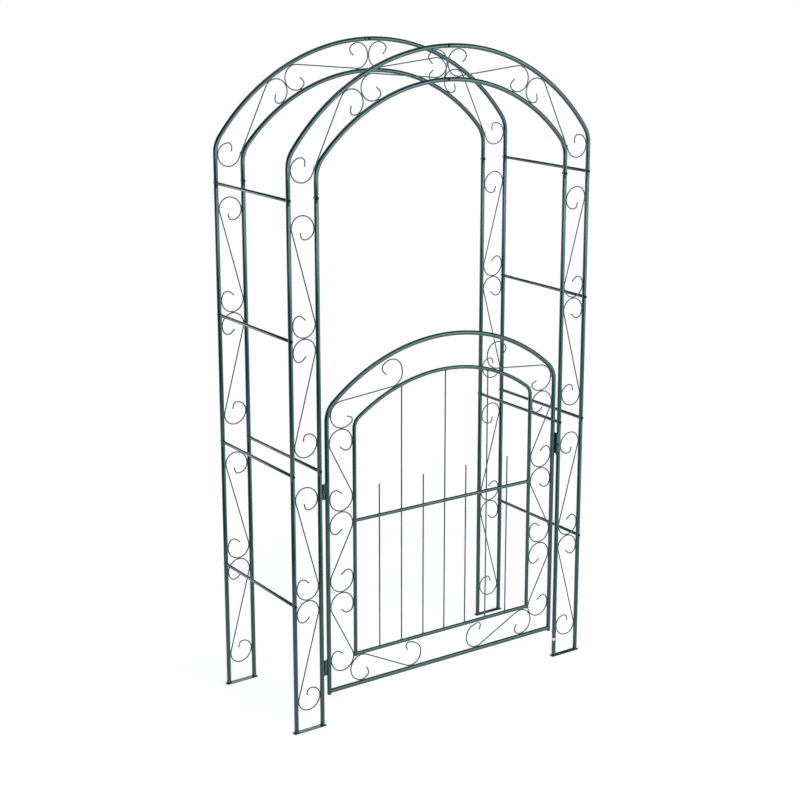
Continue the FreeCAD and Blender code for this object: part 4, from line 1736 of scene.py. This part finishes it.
    def side_scrolls(self) -> list[Contact]:
        """Three scrolls one above the other between the stiles, turned over by turns.

        Returns:
            Their welds on the right side.
        """
        x, loop_r = self.side_gap()
        wire_r = self.plan.wire_r
        curl = Curl(loop_r, 203.0, HOOK)
        low = self.scroll_bottom + loop_r
        high = self.scroll_bottom + self.scroll_pitch - 2 * wire_r - loop_r
        first = self.plan.wire("side_scroll_0", Scroll((x, low), curl, (x, high), curl, Way.CLOCKWISE))
        lift = self.scroll_pitch
        second = twin(first, "side_scroll_1", (0, 0, low + high + lift), (1, 1, -1))
        third = twin(first, "side_scroll_2", (0, 0, 2 * lift))
        self.both_sides("gate_side_scrolls", [first, second, third])
        spots = []
        for i in range(3):
            for z in (low + i * lift, high + i * lift):
                spots.append(Contact(self.outer.x - self.plan.tube_r, z))
                spots.append(Contact(self.inner.x + self.inner_r, z))
            if i:
                spots.append(Contact(x, self.scroll_bottom + i * lift - wire_r, 0.0))
        return spots

    def top_scroll(self) -> list[Contact]:
        """The scroll between the gate's two arcs, standing on the top side scroll.

        Returns:
            Its welds on the right side.
        """
        wire_r = self.plan.wire_r
        side_x, side_r = self.side_gap()
        below = self.scroll_bottom + 3 * self.scroll_pitch - 2 * wire_r - side_r
        apart = side_r + self.top_r + 2 * wire_r
        z = below + math.sqrt(apart ** 2 - (side_x - self.top_x) ** 2)
        foot = self.inner.arc_radius + self.inner_r
        rest = foot + wire_r + self.crown_r
        centre_z = self.inner.crown_z - self.inner.arc_radius
        crown = (self.crown_x, centre_z + math.sqrt(rest ** 2 - self.crown_x ** 2))
        top_curl = Curl(self.top_r, 178.0, self.top_tail)
        crown_curl = Curl(self.crown_r, 92.0, self.crown_tail)
        scroll = Scroll((self.top_x, z), top_curl, crown, crown_curl, Way.ANTICLOCKWISE)
        self.both_sides("gate_top_scrolls", [self.plan.wire("top_scroll", scroll)])
        lean = math.asin(self.crown_x / rest)
        share = (side_r + wire_r) / apart
        touch = (side_x + (self.top_x - side_x) * share, below + (z - below) * share)
        return [Contact(foot * math.sin(lean), centre_z + foot * math.cos(lean), -math.degrees(lean)),
                Contact(self.top_x + self.top_r + wire_r, z), Contact(*touch, 0.0)]

    def bottom_scroll(self) -> list[Contact]:
        """The scroll between the bottom rail and the inner rail.

        Returns:
            Its welds on the right side.
        """
        wire_r = self.plan.wire_r
        floor = self.bottom_rail_z + self.plan.gap
        ceiling = self.inner_rail_z - self.inner_r - wire_r
        corner_r = (ceiling - floor) / 2
        corner, middle = (self.corner_x, floor + corner_r), (self.middle_x, floor + self.middle_r)
        corner_curl = Curl(corner_r, 200.0, self.corner_tail)
        middle_curl = Curl(self.middle_r, 170.0, self.middle_tail)
        scroll = Scroll(corner, corner_curl, middle, middle_curl, Way.ANTICLOCKWISE)
        self.both_sides("gate_bottom_scrolls", [self.plan.wire("bottom_scroll", scroll)])
        spots = ((self.corner_x, floor - wire_r), (self.corner_x, ceiling + wire_r),
                 (self.middle_x, floor - wire_r))
        return [Contact(x, z, 0.0) for x, z in spots]

    def build(self) -> None:
        """Models the whole gate apart from its hinges."""
        self.frames()
        self.caps()
        self.rails()
        self.bars()
        right = self.side_scrolls() + self.top_scroll() + self.bottom_scroll()
        left = [Contact(-spot.x, spot.z, 180.0 - spot.seam) for spot in right]
        self.shop.attach(self.beads.at("gate_scroll_welds", right + left, self.y), "gate", Surface.PAINT)


@dataclass
class Hinges:
    """Two lift-off hinges: a barrel with its pin on the leg, a washer, and a barrel on the gate."""

    plan: Plan
    shop: Workshop
    beads: WeldBeads
    gate_x: float = 0.451
    puddle_pitch: float = 0.0032
    levels: tuple[float, float] = (0.172, 0.762)
    barrel_r: float = 0.0055
    pin_r: float = 0.003
    post_h: float = 0.016
    washer_h: float = 0.001
    total_h: float = 0.050
    tab_w: float = 0.006
    web_inset: float = 0.001
    pin_root: float = 0.001
    pin_below: float = 0.003
    bore_below: float = 0.0025
    post_rim: float = 0.0007
    pin_rim: float = 0.0008
    top_rim: float = 0.0014
    washer_rim: float = 0.0002
    eased: float = 0.0004
    play: float = 0.0001

    @property
    def x(self) -> float:
        """The hinge axis, midway in the gap between the leg and the stile."""
        return -(self.plan.inner.x + self.gate_x) / 2

    def turned(self, name: str, low: float, high: float, radius: float, sides: int) -> bpy.types.Object:
        """An upright rod on the hinge's axis, from one height to another."""
        return rod(name, (self.x, 0, low), (self.x, 0, high), radius, sides)

    def tab(self, name: str, tube_x: float, low: float, high: float) -> bpy.types.Object:
        """The flat web from a barrel to the tube that it is welded to.

        Args:
            name: The piece's name.
            tube_x: The tube's centre line.
            low: The web's lower end.
            high: Its upper end.

        Returns:
            The web.
        """
        xs = sorted((self.x, tube_x))
        web = block(name, (xs[0], -self.tab_w / 2, low), (xs[1], self.tab_w / 2, high))
        carve(web, rod("tube", (tube_x, 0, low - PAST), (tube_x, 0, high + PAST), self.plan.tube_r, 48))
        soften(web, self.eased)
        return smooth(web, MACHINED)

    def seam(self, name: str, tube_x: float, low: float, high: float) -> bpy.types.Object:
        """The weld along both edges of a web on its tube, as a row of overlapping puddles.

        Args:
            name: The piece's name.
            tube_x: The tube's centre line.
            low: The seam's lower end.
            high: Its upper end.

        Returns:
            Both seams as one piece.
        """
        half = self.tab_w / 2
        x = tube_x + math.copysign(math.sqrt(self.plan.tube_r ** 2 - half ** 2), self.x - tube_x)
        count = round((high - low) / self.puddle_pitch)
        spots = [Contact(x, low + (high - low) * (i + 0.5) / count) for i in range(count)]
        return joined(name, [self.beads.at(f"{name}_{y > 0}", spots, y) for y in (-half, half)])

    def post_half(self) -> bpy.types.Object:
        """The lower barrel with its pin and web.

        Returns:
            The half, with its foot at height 0.
        """
        barrel = self.turned("barrel", 0, self.post_h, self.barrel_r, 32)
        round_rims(barrel, lambda _, normal: abs(normal.z) > 0.9, self.post_rim, 3)
        pin = self.turned("pin", self.post_h - self.pin_root, self.total_h - self.pin_below, self.pin_r, 24)
        round_rims(pin, lambda _, normal: normal.z > 0.9, self.pin_rim, 3)
        ends = (self.web_inset, self.post_h - self.web_inset)
        web = self.tab("web", -self.plan.inner.x, *ends)
        seam = self.seam("seam", -self.plan.inner.x, *ends)
        return joined("post_half", [smooth(barrel), smooth(pin), web, seam])

    def washer(self) -> bpy.types.Object:
        """The washer between the two barrels.

        Returns:
            The washer, at its height above the lower half's foot.
        """
        ring = self.turned("washer", self.post_h, self.post_h + self.washer_h, self.barrel_r, 32)
        carve(ring, self.turned("hole", 0, self.total_h, self.pin_r + self.play, 24))
        soften(ring, self.washer_rim, 1)
        return smooth(ring, MACHINED)

    def gate_half(self) -> bpy.types.Object:
        """The upper barrel with its bore, closed and rounded at its top, and its web.

        Returns:
            The half, at its height above the lower half's foot.
        """
        base = self.post_h + self.washer_h + self.play
        barrel = self.turned("barrel", base, self.total_h, self.barrel_r, 32)
        round_rims(barrel, lambda _, normal: normal.z > 0.9, self.top_rim, 4)
        round_rims(barrel, lambda _, normal: normal.z < -0.9, self.eased)
        carve(barrel, self.turned("bore", 0, self.total_h - self.bore_below, self.pin_r + self.play, 24))
        ends = (base + self.web_inset, self.total_h - 2 * self.web_inset)
        web = self.tab("web", -self.gate_x, *ends)
        seam = self.seam("seam", -self.gate_x, *ends)
        return joined("gate_half", [smooth(barrel), web, seam])

    def build(self) -> None:
        """Models each part once and copies it to the two levels."""
        rows = (("hinge_post_halves", self.post_half()), ("hinge_washers", self.washer()),
                ("hinge_gate_halves", self.gate_half()))
        for node, master in rows:
            places = [(0, -self.plan.frame_y, z) for z in self.levels]
            copies = [twin(master, f"{node}_{i}", place) for i, place in enumerate(places)]
            bpy.data.objects.remove(master)
            self.shop.stand_in(joined(f"{node}_detailed", copies), node)


@dataclass
class Latch:
    """The folded bracket on the right leg, its rivet and the turn button."""

    plan: Plan
    shop: Workshop
    bottom: float = 0.747
    top: float = 0.820
    thickness: float = 0.003
    play: float = 0.0001
    lip_play: float = 0.00035
    stop_x: float = 0.449
    front_x: float = 0.4592
    pivot_x: float = 0.465
    pivot_r: float = 0.002
    button_w: float = 0.011
    button_length: float = 0.072
    grip_r: float = 0.0025
    grip_h: float = 0.008
    grip_drop: float = 0.029
    head_r: float = 0.0042
    head_h: float = 0.002
    head_rim: float = 0.0017
    shank_root: float = 0.0002
    tail_h: float = 0.0008
    tail_spread: float = 0.0005
    fold_r: float = 0.0024
    strip_rim: float = 0.0003
    button_rim: float = 0.0004
    grip_rim: float = 0.001

    @property
    def middle(self) -> float:
        """Height of the pivot."""
        return (self.bottom + self.top) / 2

    @property
    def lip(self) -> float:
        """From the frame's plane to the inner side of either lip."""
        return self.plan.tube_r + self.lip_play

    def button_faces(self) -> tuple[float, float]:
        """Y of the button's front and back."""
        back = -self.plan.frame_y - self.lip - self.thickness - self.play
        return back - self.thickness, back

    def pin(self, name: str, begin: float, end: float, radius: float, sides: int) -> bpy.types.Object:
        """A rod on the pivot's axis, from one value of Y to another."""
        return rod(name, (self.pivot_x, begin, self.middle), (self.pivot_x, end, self.middle), radius, sides)

    def bracket(self) -> bpy.types.Object:
        """The web beside the leg with a stop lip behind the stile and a pivot lip in front of the gap.

        Returns:
            The folded strip.
        """
        outside = self.plan.inner.x - self.plan.tube_r
        inside = outside - self.thickness
        front, back = -self.plan.frame_y - self.lip, -self.plan.frame_y + self.lip
        strip = block("latch_bracket_detailed", (inside, front - self.thickness, self.bottom),
                      (outside, back + self.thickness, self.top))
        with editing(strip):
            for y in (front, back):
                bpy.ops.mesh.select_all(action="SELECT")
                bpy.ops.mesh.bisect(plane_co=(outside, y, self.middle), plane_no=(0, 1, 0))
        for limit, reach in ((lambda y: y < front, self.front_x), (lambda y: y > back, self.stop_x)):
            pick_faces(strip, lambda centre, normal, ok=limit: normal.x < -0.9 and ok(centre.y))
            with editing(strip, "FACE"):
                move = {"value": (reach - inside, 0, 0)}
                bpy.ops.mesh.extrude_region_move(TRANSFORM_OT_translate=move)
        far = self.lip + self.thickness / 2
        pick_edges(strip, lambda a, b: max(abs(a.x - outside), abs(b.x - outside)) < self.thickness / 2
                   and abs(a.z - b.z) > self.thickness and abs(a.y + self.plan.frame_y) > far)
        with editing(strip, "EDGE"):
            bpy.ops.mesh.bevel(offset=self.fold_r, segments=5, affect="EDGES")
        carve(strip, self.pin("hole", front - PAST, front + PAST, self.pivot_r, 24))
        soften(strip, self.strip_rim)
        return shaded_plate(strip)

    def button(self) -> bpy.types.Object:
        """The turn button: a bar with round ends, a hole on the rivet and a grip.

        Returns:
            The button, upright.
        """
        front, back = self.button_faces()
        sides = 48
        middle, depth = (front + back) / 2, back - front
        reach = (self.button_length - self.button_w) / 2
        radius = self.button_w / 2 / math.cos(math.pi / sides)
        nothing_selected()
        bpy.ops.mesh.primitive_cylinder_add(vertices=sides, radius=radius, depth=depth,
                                            location=(self.pivot_x, middle, self.middle),
                                            rotation=(math.pi / 2, math.pi / sides, 0))
        bar = settled("button_bar")
        for side in (-1, 1):
            pick(bar, "vertices", [side * (vertex.co.z - self.middle) > 0 for vertex in bar.data.vertices])
            with editing(bar):
                bpy.ops.transform.translate(value=(0, 0, side * reach))
        carve(bar, self.pin("hole", front - PAST, back + PAST, self.pivot_r + self.play / 2, 24))
        soften(bar, self.button_rim)
        grip_z = self.middle - self.grip_drop
        grip = rod("grip", (self.pivot_x, front - self.grip_h, grip_z), (self.pivot_x, front, grip_z),
                   self.grip_r, 24)
        round_rims(grip, lambda _, normal: normal.y < -0.9, self.grip_rim, 4)
        return joined("turn_button_detailed", [shaded_plate(bar), smooth(grip)])

    def rivet(self) -> bpy.types.Object:
        """The rivet through the bracket's front lip, with a domed head in front of the button.

        Returns:
            The rivet.
        """
        front, _ = self.button_faces()
        lip_back = -self.plan.frame_y - self.lip
        seat = front - self.play
        head = self.pin("head", seat, seat - self.head_h, self.head_r, 28)
        round_rims(head, lambda _, normal: normal.y < -0.9, self.head_rim, 5)
        shank = self.pin("shank", seat - self.shank_root, lip_back, self.pivot_r, 20)
        tail = self.pin("tail", lip_back, lip_back + self.tail_h, self.pivot_r + self.tail_spread, 20)
        round_rims(tail, lambda _, normal: normal.y > 0.9, self.tail_spread, 2)
        return joined("latch_rivet_detailed", [smooth(head), smooth(shank), smooth(tail)])

    def build(self) -> None:
        """Models the latch."""
        self.shop.stand_in(self.bracket(), "latch_bracket")
        self.shop.stand_in(self.button(), "turn_button")
        self.shop.stand_in(self.rivet(), "latch_rivet")


# Studio


@dataclass
class Studio:
    """Pale floor, white surroundings, soft lamps and the camera."""

    azimuth: float = -34.34
    elevation: float = 13.93
    place: tuple[float, float, float] = (-3.046, -4.422, 2.456)
    lens: float = 75.10
    shift_y: float = -0.06
    ambient: float = 0.25
    ceiling: float = 0.08
    ceiling_rise: float = 0.16
    floor_r: float = 80.0
    floor_lift: float = 0.43
    shadow_r: float = 0.9
    white_r: float = 1.8

    def camera(self) -> None:
        """The camera at the photograph's viewing angle."""
        data = bpy.data.cameras.new("camera")
        data.sensor_width, data.lens, data.shift_y = 36.0, self.lens, self.shift_y
        data.clip_start, data.clip_end = 0.05, 100.0
        camera = bpy.data.objects.new("camera", data)
        bpy.context.scene.collection.objects.link(camera)
        a, e = math.radians(self.azimuth), math.radians(self.elevation)
        back = Vector((math.sin(a) * math.cos(e), -math.cos(a) * math.cos(e), math.sin(e)))
        camera.location = self.place
        camera.rotation_euler = back.to_track_quat("Z", "Y").to_euler()
        bpy.context.scene.camera = camera

    def lamp(self, name: str, place: Sequence[float], target: Sequence[float], size: Point,
             power: float) -> None:
        """A rectangular soft lamp that the camera doesn't see.

        Args:
            name: Its name.
            place: Where it hangs.
            target: What it points at.
            size: Its width and height.
            power: Its power in watts.
        """
        data = bpy.data.lights.new(name, "AREA")
        data.shape = "RECTANGLE"
        data.size, data.size_y = size
        data.energy = power
        lamp = bpy.data.objects.new(name, data)
        bpy.context.scene.collection.objects.link(lamp)
        lamp.location = place
        lamp.rotation_euler = (Vector(place) - Vector(target)).to_track_quat("Z", "Y").to_euler()
        lamp.visible_camera = False

    def surroundings(self) -> None:
        """White to the eye. Reflections find white walls and a dark ceiling, and plain light is dimmer."""
        world = bpy.data.worlds.new("studio")
        bpy.context.scene.world = world
        world.use_nodes = True
        tree = NodeTree(world.node_tree)
        dim, white, walls = tree.node("Background"), tree.node("Background"), tree.node("Background")
        dim.inputs["Color"].default_value = (0.96, 0.98, 1.0, 1.0)
        dim.inputs["Strength"].default_value = self.ambient
        white.inputs["Color"].default_value = (1.0, 1.0, 1.0, 1.0)
        white.inputs["Strength"].default_value = 1.0
        height = tree.node("SeparateXYZ")
        tree.link(tree.node("TexCoord").outputs["Generated"], height.inputs[0])
        tree.link(tree.spread(height.outputs["Z"], 0.0, self.ceiling_rise, 1.0, self.ceiling),
                  walls.inputs["Strength"])
        path = tree.node("LightPath")
        mirrored, shown = tree.node("MixShader"), tree.node("MixShader")
        seen = tree.maths("MAXIMUM", path.outputs["Is Camera Ray"], path.outputs["Is Transmission Ray"])
        for mix, share, low, high in ((mirrored, path.outputs["Is Glossy Ray"], dim, walls),
                                      (shown, seen, mirrored, white)):
            tree.link(share, mix.inputs[0])
            tree.link(low.outputs[0], mix.inputs[1])
            tree.link(high.outputs[0], mix.inputs[2])
        tree.link(shown.outputs[0], tree.node("OutputWorld").inputs[0])

    def floor(self) -> None:
        """A large pale floor: white to the eye, apart from the object's soft shadow round the feet."""
        nothing_selected()
        bpy.ops.mesh.primitive_circle_add(vertices=96, radius=self.floor_r, fill_type="NGON")
        floor = settled("floor")
        material = bpy.data.materials.new("pale_floor")
        material.use_nodes = True
        tree = NodeTree(material.node_tree)
        where = tree.node("TexCoord").outputs["Object"]
        distance = tree.node("VectorMath", operation="LENGTH")
        tree.link(where, distance.inputs[0])
        kinds = ("BsdfDiffuse", "Emission", "AddShader", "MixShader")
        matte, glow, near, far = [tree.node(kind) for kind in kinds]
        tone = tree.blend(tree.noise(where, 3.0), (0.86, 0.86, 0.86), (0.88, 0.88, 0.88))
        tree.link(tone, matte.inputs["Color"])
        path = tree.node("LightPath")
        eye = path.outputs["Is Camera Ray"]
        mirrored = tree.maths("MAXIMUM", path.outputs["Is Glossy Ray"], path.outputs["Is Transmission Ray"])
        reach = tree.spread(distance.outputs["Value"], self.shadow_r, self.white_r)
        white = tree.maths("MAXIMUM", mirrored, tree.maths("MULTIPLY", eye, reach))
        lifted = tree.maths("MULTIPLY", eye, tree.spread(reach, 0.0, 1.0, self.floor_lift, 1.0))
        tree.link(tree.maths("MAXIMUM", mirrored, lifted), glow.inputs["Strength"])
        tree.link(matte.outputs[0], near.inputs[0])
        tree.link(glow.outputs[0], near.inputs[1])
        tree.link(white, far.inputs[0])
        tree.link(near.outputs[0], far.inputs[1])
        tree.link(glow.outputs[0], far.inputs[2])
        tree.link(far.outputs[0], tree.node("OutputMaterial").inputs[0])
        floor.data.materials.append(material)

    def dark_card(self, name: str, begin: Point, end: Point, height: float) -> None:
        """A dark card that only reflections find. It draws the dark bands down the glossy tubes.

        Args:
            name: Its name.
            begin: Where it begins on the floor.
            end: Where it ends on the floor.
            height: How tall it is.
        """
        nothing_selected()
        bpy.ops.mesh.primitive_plane_add(size=1.0)
        card = settled(name)
        first, last = Vector((*begin, 0.0)), Vector((*end, 0.0))
        for corner in card.data.vertices:
            corner.co = first.lerp(last, corner.co.x + 0.5) + Vector((0, 0, (corner.co.y + 0.5) * height))
        material = bpy.data.materials.new(name + "_cloth")
        material.use_nodes = True
        tree = NodeTree(material.node_tree)
        cloth = tree.node("BsdfDiffuse")
        where = tree.node("TexCoord").outputs["Object"]
        weave = tree.blend(tree.noise(where, 40.0), (0.02, 0.02, 0.02), (0.03, 0.03, 0.03))
        tree.link(weave, cloth.inputs["Color"])
        tree.link(cloth.outputs[0], tree.node("OutputMaterial").inputs[0])
        card.data.materials.append(material)
        card.visible_camera = card.visible_diffuse = card.visible_shadow = False

    def build(self) -> None:
        """Sets up the whole studio."""
        bpy.context.scene.view_settings.view_transform = "Standard"
        self.camera()
        self.surroundings()
        self.floor()
        self.dark_card("side_card", (-1.9, 0.9), (-1.9, -1.35), 3.0)
        self.dark_card("low_card", (-1.9, -1.35), (-0.6, -1.95), 1.4)
        self.lamp("high_wall", (1.0, -2.9, 2.35), (0, 0, 2.0), (3.6, 1.5), 66.0)
        self.lamp("low_wall", (1.4, -2.6, 0.9), (0, 0, 0.9), (3.2, 1.5), 27.0)
        self.lamp("front", (-2.0, -3.2, 1.9), (0, 0, 1.8), (2.6, 1.8), 46.0)
        self.lamp("top", (-0.3, 0.4, 4.6), (0, 0, 1.0), (2.6, 2.0), 20.0)
        self.lamp("behind_left", (-2.1, 2.5, 1.05), (-0.5, 0, 1.0), (1.7, 1.8), 20.0)
        self.lamp("behind_right", (1.6, 3.4, 2.0), (0, 0, 1.2), (2.0, 2.0), 20.0)


def main() -> None:
    """Builds the arch, piece by piece, and the studio round it."""
    logging.basicConfig(level=logging.INFO, format="%(name)s: %(message)s")
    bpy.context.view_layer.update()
    plan, shop = Plan(), Workshop(frame)
    beads = WeldBeads()
    for assembly in (FrameTubes(plan, shop), FootPlates(plan, shop), LegScrolls(plan, shop, beads),
                     ArchScrolls(plan, shop, beads), Rungs(plan, shop), Fasteners(plan, shop),
                     Gate(plan, shop, beads), Hinges(plan, shop, beads), Latch(plan, shop)):
        LOG.info("building %s", type(assembly).__name__)
        assembly.build()
    beads.done()
    Studio().build()
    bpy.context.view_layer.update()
    LOG.info("%d pieces", shop.count)


if __name__ == "__main__":
    main()
